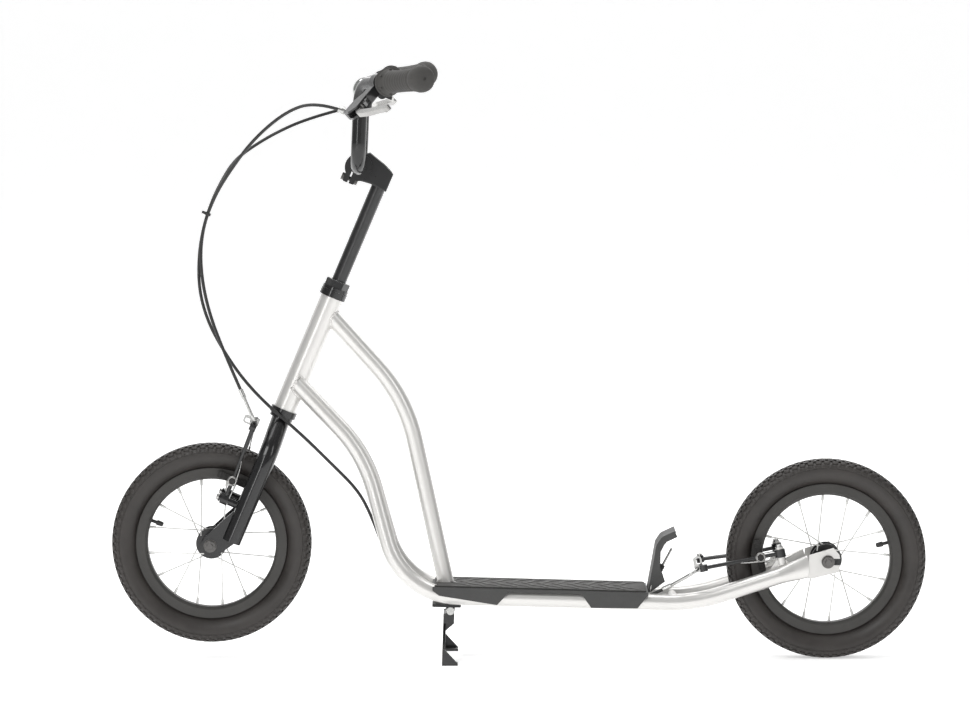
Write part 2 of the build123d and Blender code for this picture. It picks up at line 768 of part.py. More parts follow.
blade_line = [lever_pivot, (10, 57), (24, 64.5), (55, 64), (92, 59), (108, 58)]
blade_height = 9.0
for name, hand in (("left", -1), ("right", 1)):
    with BuildPart() as brake_lever:
        with BuildSketch(lever_plane(hand)) as blade_face:
            with BuildLine() as blade_route:
                FilletPolyline(*blade_line, radius=[12, 14, 60, 40])
            trace(blade_route.line, line_width=blade_height)
            with Locations(lever_pivot):
                Circle(7)
                Circle(lever_pin_radius + fit, mode=Mode.SUBTRACT)
            with Locations(blade_line[-1]):
                Circle(blade_height * 0.6)
        extrude(to_extrude=blade_face.sketch, amount=lever_thickness / 2, both=True)
    finish(brake_lever, f"lever_{name}")

# ---------------------------------------------------------------- cables on the fork side
# Points are behind the steering axis, to the right of it and up along it.
front_cable_route = [
    (-100, -130, 689), (-137, -128, 685), (-171, -119, 655), (-200, -102, 598), (-215, -72, 540),
    (-223, -46, 492), (-221, -43.5, 441), (-204, -43.5, 390), (-172, -44, 338), (-128, -47, 289),
    (-73, -56, 238),
]
rear_cable_route = [
    (-106, 130, 678), (-142, 124, 650), (-179, 103, 611), (-207, 72, 572), (-220, 40, 546),
    (-224, 2, 512), (-224, -34, 478), (-220, -37.6, 438), (-209, -38.5, 396), (-190, -37, 352),
    (-161, -34, 314),
    (-124, -31, 283), (-77, -29, 252), (-25, -29, 229),
]
frame_cable_route = [          # behind the rear axle, to the right of it and above it
    (-808, -22, 173), (-760, -12, 127), (-717, -3, 85), (-696, 0, 45), (-680, -4, 5),
    (-658, -13, -35), (-622, -21, -60), (-576, -24, -69), (-528, -25, -71), (-470, -25.5, -71),
    (-412, -25.5, -70.5), (-356, -25, -70), (-318, -26, -69), (-289, -29.5, -67), (-267, -36, -60),
    (-249, -40, -50),
]
front_cable_points = [on_fork(*point) for point in front_cable_route]
fork_side_points = [on_fork(*point) for point in rear_cable_route]
frame_side_points = [ride(*point) for point in frame_cable_route]
rear_cable_points = fork_side_points + frame_side_points

with BuildPart() as front_brake_cable:
    cord(front_cable_points)
finish(front_brake_cable, "front_brake_cable")

# The rear cable is one length in three stretches that meet face to face: down to the tie on
# the bar's side, round the head tube on the fork's side, and along the frame.
upper_break, lower_break = 8, 15


def rear_stretch(first, last):
    """The part of the rear cable between the middles of two of its runs."""
    radii = cord_radii(rear_cable_points)
    points = rear_cable_points[first:last + 1]
    if first:
        points.insert(0, (rear_cable_points[first - 1] + rear_cable_points[first]) / 2)
    if last < len(rear_cable_points) - 1:
        points.append((rear_cable_points[last] + rear_cable_points[last + 1]) / 2)
    inner = radii[max(first, 1) - 1:min(last, len(rear_cable_points) - 2)]
    length = bent_round(points, inner, cable_radius)
    print("rear cable stretch", round(length, 1), "smallest arc", round(min(inner), 1))


with BuildPart() as rear_cable_upper:
    rear_stretch(0, upper_break)
finish(rear_cable_upper, "rear_cable_upper")
with BuildPart() as rear_cable_middle:
    rear_stretch(upper_break + 1, lower_break)
finish(rear_cable_middle, "rear_cable_middle")
with BuildPart() as rear_cable_run:
    rear_stretch(lower_break + 1, len(rear_cable_points) - 1)
finish(rear_cable_run, "rear_cable_run")

barrel_radius = 4.0
with BuildPart() as barrel_adjusters:
    for points in (front_cable_points, rear_cable_points):
        way = (points[0] - points[1]).normalized()
        round_bar(points[0], way, barrel_length, barrel_radius)
        round_bar(points[0] + way * 5, way, 5, barrel_radius + 1.5)
finish(barrel_adjusters, "barrel_adjusters")

tie_sheet = 1.2
tie_along = 461.0
tie_span = 15.8
tie_gap = 2 * cable_radius + 2.8     # the band's inner height round both cables
with BuildPart() as cable_tie:
    tie_at = on_fork(-222.4, -40.4, tie_along)
    with BuildSketch(Plane(origin=tie_at, x_dir=right, z_dir=axis_up)) as tie_band:
        SlotOverall(tie_span + 2 * tie_sheet, tie_gap + 2 * tie_sheet)
        SlotOverall(tie_span, tie_gap, mode=Mode.SUBTRACT)
        with Locations((0, tie_gap / 2 + 2.6)):
            Rectangle(4.5, 5)
    extrude(to_extrude=tie_band.sketch, amount=tie_width)
finish(cable_tie, "cable_tie")

# ---------------------------------------------------------------- bell
bell_radius = 19.5
bell_height = 14.0
bell_rim = 4.0
bell_inner = 62.0            # the rim's face towards the bar's upright, from the middle
bell_lift = 116.0            # bell centre above the bar's base
bell_band = 14.5
bell_band_drop = 26.0        # the band round the upright, below the bell's centre
thumb_pin_radius = 1.5
bell_at = clamp_at + side.y_dir * bell_lift + side.x_dir * 6
bar_foot = clamp_at + right * bar_base_half
band_way = (bar_corner(1) - bar_foot).normalized()
band_at = bar_foot + band_way * (bell_lift - bell_band_drop)
bell_face = Plane(origin=bell_at + right * bell_inner, x_dir=side.x_dir, z_dir=(0, -1, 0))
thumb_pivot = (bell_radius + 6.0, -6.0)
with BuildPart() as bell_base:
    round_bar(band_at - band_way * 6, band_way, 12, bell_band)
    with BuildSketch(bell_face) as bell_rim_disc:
        Circle(bell_radius)
        with Locations(thumb_pivot):
            Circle(7.5)
    extrude(to_extrude=bell_rim_disc.sketch, amount=bell_rim / 2)
    with BuildSketch(bell_face) as bell_neck:
        with Locations((-6, -bell_band_drop / 2)):
            Rectangle(12, bell_band_drop)
    extrude(to_extrude=bell_neck.sketch, amount=bell_rim / 2)
    with Locations(bell_face):
        Cylinder(3, bell_height, align=(Align.CENTER, Align.CENTER, Align.MIN))
        with Locations(thumb_pivot):
            Cylinder(thumb_pin_radius, 7.5, align=(Align.CENTER, Align.CENTER, Align.MIN))
    round_bar(band_at - band_way * 7, band_way, 14, bar_radius + fit, mode=Mode.SUBTRACT)
finish(bell_base, "bell_base")

dome_sheet = 1.2
with BuildPart() as bell_dome:
    with BuildSketch(Plane(origin=bell_face.origin, x_dir=(0, -1, 0), z_dir=side.x_dir)) as dome_half:
        with BuildLine():
            first = bell_rim / 2 + 0.2
            Polyline((first, bell_radius), (first + 2, bell_radius))
            ThreePointArc(
                (first + 2, bell_radius), (bell_height - 3, bell_radius * 0.74), (bell_height, 3 + seat),
            )
            Polyline((bell_height, 3 + seat), (bell_height - dome_sheet, 3 + seat))
            ThreePointArc(
                (bell_height - dome_sheet, 3 + seat), (bell_height - 3.9, bell_radius * 0.69),
                (first + 2, bell_radius - dome_sheet),
            )
            Polyline(
                (first + 2, bell_radius - dome_sheet), (first, bell_radius - dome_sheet),
                (first, bell_radius),
            )
        make_face()
    revolve(profiles=dome_half.sketch, axis=Axis(bell_face.origin, right))
finish(bell_dome, "bell_dome")

with BuildPart() as bell_lever:
    with BuildSketch(bell_face.offset(bell_rim / 2 + 0.5)) as thumb:
        with Locations(thumb_pivot):
            Circle(4)
            with Locations((8, -3)):
                Rectangle(16, 6, rotation=-20)
            Circle(thumb_pin_radius + fit, mode=Mode.SUBTRACT)
    extrude(to_extrude=thumb.sketch, amount=2.5)
finish(bell_lever, "bell_lever")

# ---------------------------------------------------------------- wheels
tyre_wall = 3.0
bead_half = rim_width / 2 - 2.7
rim_floor = 104.0
tube_section = 14.0          # the inner tube's radius round its own centre line
tube_rubber = 1.5
tyre_side_radius = 133.0     # where the tyre is widest
for name, centre in (("front", front_axle_at), ("rear", rear_axle_at)):
    section_plane = wheel_section(centre)
    spin = Axis(centre, right)
    half_tyre = tyre_width / 2
    with BuildPart() as tyre:
        with BuildSketch(section_plane) as tyre_profile:
            with BuildLine():
                bead_out = (-bead_half, rim_outer + 0.5)
                widest = (-half_tyre, tyre_side_radius)
                shoulder = (-half_tyre * 0.74, wheel_radius - 4)
                inner_shoulder = (shoulder[0] + 2, shoulder[1] - tyre_wall - 1)
                inner_widest = (widest[0] + tyre_wall, widest[1])
                bead_in = (bead_out[0] + tyre_wall - 0.5, bead_out[1])
                Line((-bead_half, rim_outer - 7), bead_out)
                ThreePointArc(bead_out, (-half_tyre * 0.85, rim_outer + 8), widest)
                ThreePointArc(widest, (-half_tyre * 0.94, wheel_radius - 11), shoulder)
                ThreePointArc(shoulder, (0, wheel_radius), (-shoulder[0], shoulder[1]))
                ThreePointArc(
                    (-shoulder[0], shoulder[1]), (half_tyre * 0.94, wheel_radius - 11),
                    (-widest[0], widest[1]),
                )
                ThreePointArc(
                    (-widest[0], widest[1]), (half_tyre * 0.85, rim_outer + 8),
                    (-bead_out[0], bead_out[1]),
                )
                Polyline(
                    (-bead_out[0], bead_out[1]), (bead_half, rim_outer - 7),
                    (-bead_in[0], rim_outer - 7), (-bead_in[0], bead_in[1]),
                )
                ThreePointArc(
                    (-bead_in[0], bead_in[1]), (half_tyre * 0.85 - tyre_wall, rim_outer + 10),
                    (-inner_widest[0], inner_widest[1]),
                )
                ThreePointArc(
                    (-inner_widest[0], inner_widest[1]),
                    (half_tyre * 0.94 - tyre_wall, wheel_radius - 12),
                    (-inner_shoulder[0], inner_shoulder[1]),
                )
                ThreePointArc(
                    (-inner_shoulder[0], inner_shoulder[1]), (0, wheel_radius - tyre_wall - 1),
                    inner_shoulder,
                )
                ThreePointArc(
                    inner_shoulder, (-half_tyre * 0.94 + tyre_wall, wheel_radius - 12), inner_widest,
                )
                ThreePointArc(
                    inner_widest, (-half_tyre * 0.85 + tyre_wall, rim_outer + 10), bead_in,
                )
                Polyline(bead_in, (bead_in[0], rim_outer - 7), (-bead_half, rim_outer - 7))
            make_face()
        revolve(profiles=tyre_profile.sketch, axis=spin)
    finish(tyre, f"{name}_tyre")

    with BuildPart() as inner_tube:
        with BuildSketch(section_plane) as ring:
            with Locations((0, rim_floor + 1 + tube_section + 12)):
                Circle(tube_section)
                Circle(tube_section - tube_rubber, mode=Mode.SUBTRACT)
        revolve(profiles=ring.sketch, axis=spin)
    finish(inner_tube, f"{name}_inner_tube")

    with BuildPart() as rim:
        with BuildSketch(section_plane) as rim_profile:
            with BuildLine():
                half_rim = rim_width / 2
                left_side = [
                    (-half_rim, rim_outer), (-half_rim, rim_inner + 4), (-half_rim + 6, rim_inner),
                ]
                left_floor = [(-7, rim_floor), (-bead_half - 0.1, rim_floor + 3), (-bead_half - 0.1, rim_outer)]
                mirrored_side = [(-x, y) for x, y in reversed(left_side)]
                mirrored_floor = [(-x, y) for x, y in reversed(left_floor)]
                Polyline(*left_side, *mirrored_side, *mirrored_floor, *left_floor, close=True)
            make_face()
        revolve(profiles=rim_profile.sketch, axis=spin)
    finish(rim, f"{name}_rim")

    with BuildPart() as hub:
        with BuildSketch(section_plane) as hub_profile:
            with BuildLine():
                bore = axle_radius + fit
                flange_in = hub_flange_offset - 1.5
                flange_out = hub_flange_offset + 1.5
                half = [
                    (flange_in, 12), (flange_in, hub_flange_radius), (flange_out, hub_flange_radius),
                    (flange_out, 15), (hub_half_length, 13), (hub_half_length, bore),
                ]
                Polyline(*half, *[(-x, y) for x, y in reversed(half)], close=True)
            make_face()
        revolve(profiles=hub_profile.sketch, axis=spin)
    finish(hub, f"{name}_hub")

    first_spoke = {"front": -90 + 9, "rear": -90 + 2.5}[name]
    spoke_lead = 45.0
    spoke_circle = hub_flange_radius - 4
    spokes = []
    for index in range(spoke_count):
        flange_side = 1 if index % 2 else -1
        lead = spoke_lead if index % 4 < 2 else -spoke_lead
        rim_angle = math.radians(first_spoke + index * 360 / spoke_count)
        hub_angle = rim_angle + math.radians(lead)
        reach = rim_inner + 2
        rim_end = centre + Vector(math.cos(rim_angle) * reach, flange_side * 2, math.sin(rim_angle) * reach)
        beside = 2.4 if lead > 0 else -2.4      # outside or inside its flange
        hub_end = centre + Vector(
            math.cos(hub_angle) * spoke_circle, flange_side * (hub_flange_offset + beside),
            math.sin(hub_angle) * spoke_circle,
        )
        spokes.append((hub_end, rim_end - hub_end))
    with BuildPart() as spoke_set:
        for start, span in spokes:
            round_bar(start, span.normalized(), span.length, spoke_radius)
            round_bar(start + span * 0.87, span.normalized(), span.length * 0.11, spoke_radius + 1)
    finish(spoke_set, f"{name}_spokes")

# ---------------------------------------------------------------- rim brakes
arm_width, arm_depth = 9.0, 5.6        # lateral, and along the stud
pad_bolt_radius = 3.0
noodle_radius = 2.6
noodle_bend = 12.0


def brake_arm(brake, hand, tip_half):
    """One arm: the hub on its stud, the bar past the pad and the splayed tip."""
    line = [
        at_brake(brake, 0, hand * brake_pivot_half, 0),
        at_brake(brake, 0, hand * brake_pivot_half, 45),
        at_brake(brake, 3, hand * tip_half, brake_arm_length),
    ]
    with BuildLine() as path:
        route = FilletPolyline(*line, radius=60)
    with BuildSketch(Plane(origin=line[0], x_dir=right, z_dir=brake.y_dir)) as section:
        RectangleRounded(arm_width, arm_depth, 2)
    sweep(sections=section.sketch, path=path.line)
    way = brake.x_dir
    hub_start = at_brake(brake, -arm_half, hand * brake_pivot_half, 0)
    round_bar(hub_start, way, 2 * arm_half, 8)
    tip = at_brake(brake, 3, hand * tip_half, brake_arm_length)
    round_bar(tip - way * 5, way, 10, 6)
    round_bar(hub_start - way, way, 2 * arm_half + 2, brake_stud_radius + fit, mode=Mode.SUBTRACT)
    bolt_at = at_brake(brake, 0, hand * (brake_pivot_half - 10), brake_pad_reach)
    round_bar(bolt_at, right * hand, 20, pad_bolt_radius + seat, mode=Mode.SUBTRACT)


def brake_pad(brake, hand):
    """The rubber block facing the rim, with its threaded post and outer nut."""
    face = rim_width / 2 + pad_gap
    out = right * hand
    block = Plane(
        origin=at_brake(brake, 0, hand * face, brake_pad_reach), x_dir=brake.x_dir, z_dir=out,
    )
    with BuildSketch(block) as shoe:
        RectangleRounded(pad_length, pad_height, 3)
    extrude(to_extrude=shoe.sketch, amount=pad_thickness - 1.5)
    outer_face = brake_pivot_half + arm_width / 2
    round_bar(block.origin + out * (pad_thickness - 1.5), out, outer_face + 7 - face - pad_thickness,
              pad_bolt_radius)
    round_bar(
        block.origin + out * (pad_thickness - 1.5), out,
        brake_pivot_half - arm_width / 2 - face - pad_thickness + 1.5 - seat, pad_bolt_radius + 2,
    )
    nut_face = Plane(origin=block.origin + out * (outer_face + 0.1 - face), x_dir=brake.x_dir, z_dir=out)
    with BuildSketch(nut_face) as nut:
        RegularPolygon(5.5, 6)
    extrude(to_extrude=nut.sketch, amount=4)


def noodle(brake, tip_half, cable_end, cable_way):
    """The bent guide pipe that leads the cable through the left arm's tip."""
    tip = at_brake(brake, 3, -tip_half, brake_arm_length)
    inner = tip + right * 14
    outer = tip - right * 15 + brake.y_dir * 9
    ferrule = 12.0
    bent_round(
        [inner + brake.y_dir * 9, outer, cable_end + cable_way * ferrule], [noodle_bend], noodle_radius,
    )
    round_bar(cable_end, cable_way, ferrule + 2, noodle_radius + 1.2)
    # the sprung loop that holds the pipe at the arm's tip
    holder = Plane(origin=tip + right * 8, x_dir=brake.x_dir, z_dir=brake.z_dir)
    with BuildSketch(holder) as loop:
        with Locations((6, 7)):
            RectangleRounded(24, 13, 4)
        with Locations((11, 6)):
            RectangleRounded(9, 6, 2, mode=Mode.SUBTRACT)
    extrude(to_extrude=loop.sketch, amount=2 * brake.z_dir.Y)


for name, brake, tip_half, points in (
    ("front", front_brake, 48.0, front_cable_points),
    ("rear", rear_brake, 60.0, rear_cable_points),
):
    for side_name, hand in (("left", -1), ("right", 1)):
        with BuildPart() as caliper:
            brake_arm(brake, hand, tip_half)
        finish(caliper, f"{name}_brake_arm_{side_name}")
        with BuildPart() as pad:
            brake_pad(brake, hand)
        finish(pad, f"{name}_brake_pad_{side_name}")
    with BuildPart() as guide:
        noodle(brake, tip_half, points[-1], (points[-1] - points[-2]).normalized())
    finish(guide, f"{name}_noodle")

# ---------------------------------------------------------------- centre stand
cheek_at = ear_offset + ear_sheet + 0.5
leg_front = stand_pivot[0] - 10.6
foot_out, foot_in = stand_foot_half + 12, stand_foot_half - 14
foot_top = -144.0
foot_depth = 24.0
below_floor = -180.0
sole_sheet = 4.0
floor_line = -ride(leg_front, 0, 0).Z      # the floor under the stand, roughly, from the rear axle
with BuildPart() as stand_legs:
    lateral = Plane(origin=ride(leg_front, 0, 0), x_dir=(0, 1, 0), z_dir=side.x_dir)
    with BuildSketch(lateral) as fork_plate:
        with BuildLine():
            half_plate = [
                (cheek_at + 3, -98), (cheek_at + 3, -112), (foot_out, foot_top), (foot_out, below_floor),
                (foot_in, below_floor), (foot_in, foot_top - 14), (18, -124),
            ]
            Polyline(*half_plate, *[(-x, y) for x, y in reversed(half_plate)], close=True)
        make_face()
    extrude(to_extrude=fork_plate.sketch, amount=stand_sheet)
    for hand in (-1, 1):
        with BuildSketch(side.offset(-hand * (cheek_at + 1.5))) as cheek:
            with BuildLine():
                Polyline(
                    (leg_front, -98), (stand_pivot[0], stand_pivot[1]),
                    (stand_pivot[0] + 6, stand_pivot[1] - 2), (stand_pivot[0] + 6, -112),
                    (leg_front + stand_sheet, -123), (leg_front, -123), close=True,
                )
            make_face()
            with Locations(stand_pivot):
                Circle(6)
                Circle(pin_radius + fit, mode=Mode.SUBTRACT)
        extrude(to_extrude=cheek.sketch, amount=1.5, both=True)
        with BuildSketch(side.offset(-hand * (foot_out - 1.5))) as gusset:
            with BuildLine():
                Polyline(
                    (leg_front, foot_top), (leg_front + stand_sheet, foot_top),
                    (leg_front + foot_depth, floor_line + sole_sheet),
                    (leg_front + foot_depth, below_floor), (leg_front, below_floor), close=True,
                )
            make_face()
        extrude(to_extrude=gusset.sketch, amount=1.5, both=True)
        with BuildSketch(side.offset(-hand * stand_foot_half)) as sole:
            with Locations((leg_front + foot_depth / 2, (floor_line + sole_sheet + below_floor) / 2)):
                Rectangle(foot_depth, floor_line + sole_sheet - below_floor)
        extrude(to_extrude=sole.sketch, amount=12, both=True)
    split(bisect_by=Plane.XY, keep=Keep.TOP)
finish(stand_legs, "stand_legs")

spring_wire, spring_coil, spring_turns = 1.0, 6.2, 6
with BuildPart() as stand_spring:
    coil_length = 22.0
    coil_start = ride(stand_pivot[0], -coil_length / 2, stand_pivot[1])
    with BuildLine() as coil:
        turns = Helix(coil_length / spring_turns, coil_length, spring_coil, coil_start, (0, 1, 0))
    with BuildSketch(Plane(origin=turns @ 0, z_dir=turns % 0)) as wire:
        Circle(spring_wire)
    sweep(sections=wire.sketch, path=coil.line, is_frenet=True)
finish(stand_spring, "stand_spring")

# ---------------------------------------------------------------- cable clips
clip_sheet = 1.5
clip_clear = 0.3
clip_stations = [(-499, -25.25, -71), (-384, -25, -70.25)]
with BuildPart() as cable_clips:
    for x, y, z in clip_stations:
        band = Plane(origin=ride(x - 4, y, z), x_dir=right, z_dir=side.x_dir)
        hook = deck_underside - z
        with BuildSketch(band) as clip:
            Circle(cable_radius + clip_sheet)
            with Locations((0, hook / 2)):
                Rectangle(4, hook)
            with Locations((6, hook - clip_sheet / 2)):
                Rectangle(16, clip_sheet)
            Circle(cable_radius + clip_clear, mode=Mode.SUBTRACT)
        extrude(to_extrude=clip.sketch, amount=8)
finish(cable_clips, "cable_clips")
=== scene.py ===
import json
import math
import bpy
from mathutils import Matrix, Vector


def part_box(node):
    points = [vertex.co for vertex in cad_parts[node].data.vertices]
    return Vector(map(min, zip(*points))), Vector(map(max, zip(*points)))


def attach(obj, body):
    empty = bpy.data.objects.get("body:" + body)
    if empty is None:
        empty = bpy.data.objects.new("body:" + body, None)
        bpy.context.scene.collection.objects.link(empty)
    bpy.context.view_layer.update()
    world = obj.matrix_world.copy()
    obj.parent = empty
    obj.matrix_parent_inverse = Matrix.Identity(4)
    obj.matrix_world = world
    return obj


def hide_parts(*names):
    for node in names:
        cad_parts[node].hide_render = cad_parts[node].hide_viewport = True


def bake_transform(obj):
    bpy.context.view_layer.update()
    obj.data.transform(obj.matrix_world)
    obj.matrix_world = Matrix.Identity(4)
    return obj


bl_info = {
    "name": "Kick scooter",
    "version": (1, 0, 0),
    "blender": (4, 5, 0),
    "location": "3D View > Sidebar > Kick scooter",
    "description": "Tyres, grips, cables, brakes and finishes of a kick scooter on its CAD frame",
    "category": "Object",
}

import bmesh
import bpy
from bpy.props import FloatProperty, FloatVectorProperty, IntProperty, PointerProperty
from bpy.types import Operator, Panel, PropertyGroup
from mathutils import Matrix, Vector

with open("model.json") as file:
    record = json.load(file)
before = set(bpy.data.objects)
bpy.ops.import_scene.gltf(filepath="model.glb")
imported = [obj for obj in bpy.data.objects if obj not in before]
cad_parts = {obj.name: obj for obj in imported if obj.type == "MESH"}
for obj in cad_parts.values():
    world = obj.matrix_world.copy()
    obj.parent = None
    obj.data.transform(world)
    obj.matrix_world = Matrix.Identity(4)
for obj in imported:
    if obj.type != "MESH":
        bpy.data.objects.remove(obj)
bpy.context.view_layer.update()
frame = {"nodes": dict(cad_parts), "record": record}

# ------------------------------------------------------------------ places on the frame
RIGHT = Vector((0, 1, 0))


def middle(node):
    """The middle of a CAD node's box."""
    low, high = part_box(node)
    return (low + high) / 2


FRONT_AXLE, REAR_AXLE = middle("front_hub"), middle("rear_hub")
BACK = (REAR_AXLE - FRONT_AXLE).normalized()
UP = Vector((-BACK.z, 0, BACK.x))
JOINTS = {j["name"]: j for j in frame["record"]["behaviour"]["joints"]}
STEER_UP = Vector(JOINTS["steering"]["axis"]).normalized()
STEER_BACK = Vector((STEER_UP.z, 0, -STEER_UP.x))
STEER_FOOT = Vector(JOINTS["steering"]["pos_m"])
STEER_FOOT += STEER_UP * (FRONT_AXLE - STEER_FOOT).dot(STEER_UP)
WHEEL_RADIUS = (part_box("rear_tyre")[1].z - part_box("rear_tyre")[0].z) / 2


def ride_at(x, y, z):
    """A point x behind, y right of and z above the rear axle, square to the frame, in metres."""
    return REAR_AXLE + BACK * x + RIGHT * y + UP * z


def fork_at(n, y, t):
    """A point n behind the steering axis, y right of it and t up along it, in metres."""
    return STEER_FOOT + STEER_BACK * n + RIGHT * y + STEER_UP * t


TUBE_RADIUS, HEAD_TUBE_RADIUS = 0.0125, 0.0170
RAIL_LEVEL, DECK_SHEET, MAT_THICKNESS = -0.0683, 0.003, 0.0023
DECK_TOP = RAIL_LEVEL + TUBE_RADIUS + DECK_SHEET
RAIL_NOSE_SPREAD, RAIL_NOSE_HEIGHT = 0.0135, 0.277
TOP_TUBE_FOOT = -0.095
TOP_TUBE = fork_at(0, 0, 0.395), ride_at(-0.6491, 0, 0.2283), ride_at(-0.5696, 0, TOP_TUBE_FOOT)


# ------------------------------------------------------------------ modelling by hand
def put_down():
    """Leave edit mode with nothing selected."""
    if bpy.context.object and bpy.context.object.mode != "OBJECT":
        bpy.ops.object.mode_set(mode="OBJECT")
    bpy.ops.object.select_all(action="DESELECT")


def take(*pieces):
    """Select these pieces, the first one active."""
    put_down()
    for piece in pieces:
        piece.select_set(True)
    bpy.context.view_layer.objects.active = pieces[0]


def start_edit(piece):
    """Open a piece in edit mode with nothing picked."""
    take(piece)
    bpy.ops.object.mode_set(mode="EDIT")
    bpy.ops.mesh.select_all(action="DESELECT")


def pick(piece, kind, test):
    """Pick the vertices, edges or faces whose middle passes a test."""
    mesh = bmesh.from_edit_mesh(piece.data)
    for element in getattr(mesh, kind):
        if kind == "verts":
            at = element.co
        elif kind == "edges":
            at = (element.verts[0].co + element.verts[1].co) / 2
        else:
            at = element.calc_center_median()
        if test(at):
            element.select_set(True)
    mesh.select_flush_mode()
    bmesh.update_edit_mesh(piece.data)


def named(name):
    """The piece just added, under its own name, with its place in its mesh."""
    piece = bpy.context.object
    piece.name = piece.data.name = name
    bpy.ops.object.transform_apply(location=True, rotation=True, scale=True)
    return piece


def joined(name, pieces):
    """Several pieces made into one."""
    take(*pieces)
    bpy.ops.object.join()
    return named(name)


def with_modifier(piece, kind, **values):
    """Add one modifier, set it and apply it."""
    take(piece)
    modifier = piece.modifiers.new(kind.title(), kind)
    for key, value in values.items():
        setattr(modifier, key, value)
    bpy.ops.object.modifier_apply(modifier=modifier.name)


def smooth(piece, angle=40):
    """Shade a piece smooth, and keep edges sharper than an angle in degrees."""
    take(piece)
    bpy.ops.object.shade_smooth_by_angle(angle=math.radians(angle))


def square_to(way):
    """A direction square to another one."""
    other = Vector((0, 0, 1)) if abs(way.z) < 0.9 else Vector((1, 0, 0))
    return (other - way * other.dot(way)).normalized()


def turned(name, centre, way, outline, steps=48, closed=False, out=None):
    """Spin an outline of (along, radius) points, in metres, round an axis."""
    out = out or square_to(way)
    points = [centre + way * a + out * r for a, r in outline]
    if closed:
        points.append(points[0])
    put_down()
    bpy.ops.mesh.primitive_plane_add(size=0.001, location=(0, 0, 0))
    piece = named(name)
    start_edit(piece)
    bpy.ops.mesh.select_all(action="SELECT")
    bpy.ops.mesh.merge(type="CENTER")
    bpy.ops.transform.translate(value=points[0])
    for here, there in zip(points, points[1:]):
        bpy.ops.mesh.extrude_vertices_move(TRANSFORM_OT_translate={"value": there - here})
    bpy.ops.mesh.select_all(action="SELECT")
    if closed:
        bpy.ops.mesh.remove_doubles(threshold=1e-6)
    bpy.ops.mesh.spin(steps=steps, angle=2 * math.pi, center=centre, axis=way)
    bpy.ops.mesh.select_all(action="SELECT")
    bpy.ops.mesh.remove_doubles(threshold=2e-6)
    bpy.ops.mesh.normals_make_consistent(inside=False)
    put_down()
    smooth(piece)
    return piece


def tube(name, points, radius, radii=None, ring=False, nurbs=True):
    """A round cord or bead along a smooth line through the room its points leave."""
    curve = bpy.data.curves.new(name, "CURVE")
    curve.dimensions = "3D"
    spline = curve.splines.new("NURBS" if nurbs else "POLY")
    spline.points.add(len(points) - 1)
    for index, (place, at) in enumerate(zip(spline.points, points)):
        place.co = (*at, 1)
        place.radius = radii[index] if radii else 1.0
    spline.order_u = 3
    spline.use_endpoint_u = not ring
    spline.use_cyclic_u = ring
    curve.resolution_u = 8
    curve.bevel_depth = radius
    curve.bevel_resolution = 3
    curve.use_fill_caps = True
    piece = bpy.data.objects.new(name, curve)
    bpy.context.scene.collection.objects.link(piece)
    take(piece)
    bpy.ops.object.convert(target="MESH")
    piece = bpy.context.object
    smooth(piece, 50)
    return piece


def cut(piece, name, at, way):
    """Cut a piece in two at a plane: it keeps what lies before, and a copy what lies past."""
    take(piece)
    bpy.ops.object.duplicate()
    far = named(name)
    for half, outer in ((piece, True), (far, False)):
        start_edit(half)
        bpy.ops.mesh.select_all(action="SELECT")
        bpy.ops.mesh.bisect(
            plane_co=at, plane_no=way, use_fill=True, clear_outer=outer, clear_inner=not outer,
        )
        put_down()
    return piece, far


def block(name, centre, size, along, up, bevel=0.0003, segments=1):
    """A rounded block with its first side along one way and its last side up another."""
    side = up.cross(along).normalized()
    turn = Matrix((along.normalized(), side, up.normalized())).transposed()
    put_down()
    bpy.ops.mesh.primitive_cube_add(size=1, location=centre, rotation=turn.to_euler(), scale=size)
    piece = named(name)
    with_modifier(piece, "BEVEL", width=bevel, segments=segments, limit_method="NONE")
    smooth(piece, 50)
    return piece


def screw_head(name, centre, way, radius, height, socket=0.5):
    """A round screw head with a hexagon socket, standing on its washer."""
    head = turned(name, centre, way, [
        (0, 0), (0, radius * 1.35), (height * 0.15, radius * 1.35), (height * 0.15, radius),
        (height * 0.85, radius), (height, radius * 0.86), (height, 0),
    ], steps=24)
    put_down()
    bpy.ops.mesh.primitive_cylinder_add(
        vertices=6, radius=radius * socket, depth=height,
        location=centre + way * height, rotation=way.to_track_quat("Z", "Y").to_euler(),
    )
    hexagon = named(name + "_socket")
    with_modifier(head, "BOOLEAN", object=hexagon, operation="DIFFERENCE")
    bpy.data.objects.remove(hexagon)
    smooth(head, 35)
    return head


def place(piece, body, slot, material=None):
    """Give a finished piece its body, if one is named, its slot and its finish."""
    if isinstance(body, str):
        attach(piece, body)
    piece.data.materials.clear()
    piece.data.materials.append(bpy.data.materials[material or slot])


# ------------------------------------------------------------------ finishes
def nodes_of(name):
    """A new material's linker, maker of nodes and shader."""
    material = bpy.data.materials.get(name) or bpy.data.materials.new(name)
    material.use_nodes = True
    tree = material.node_tree
    tree.nodes.clear()
    output = tree.nodes.new("ShaderNodeOutputMaterial")
    shader = tree.nodes.new("ShaderNodeBsdfPrincipled")
    tree.links.new(shader.outputs[0], output.inputs[0])

    def node(kind, **values):
        made = tree.nodes.new("ShaderNode" + kind)
        for key, value in values.items():
            if key in made.inputs:
                made.inputs[key].default_value = value
            else:
                setattr(made, key, value)
        return made

    return tree.links.new, node, shader


def tone(link, node, low, high, factor):
    """A colour between two, following a factor."""
    mix = node("Mix", data_type="RGBA")
    mix.inputs[6].default_value = (*low, 1)
    mix.inputs[7].default_value = (*high, 1)
    link(factor, mix.inputs[0])
    return mix.outputs[2]


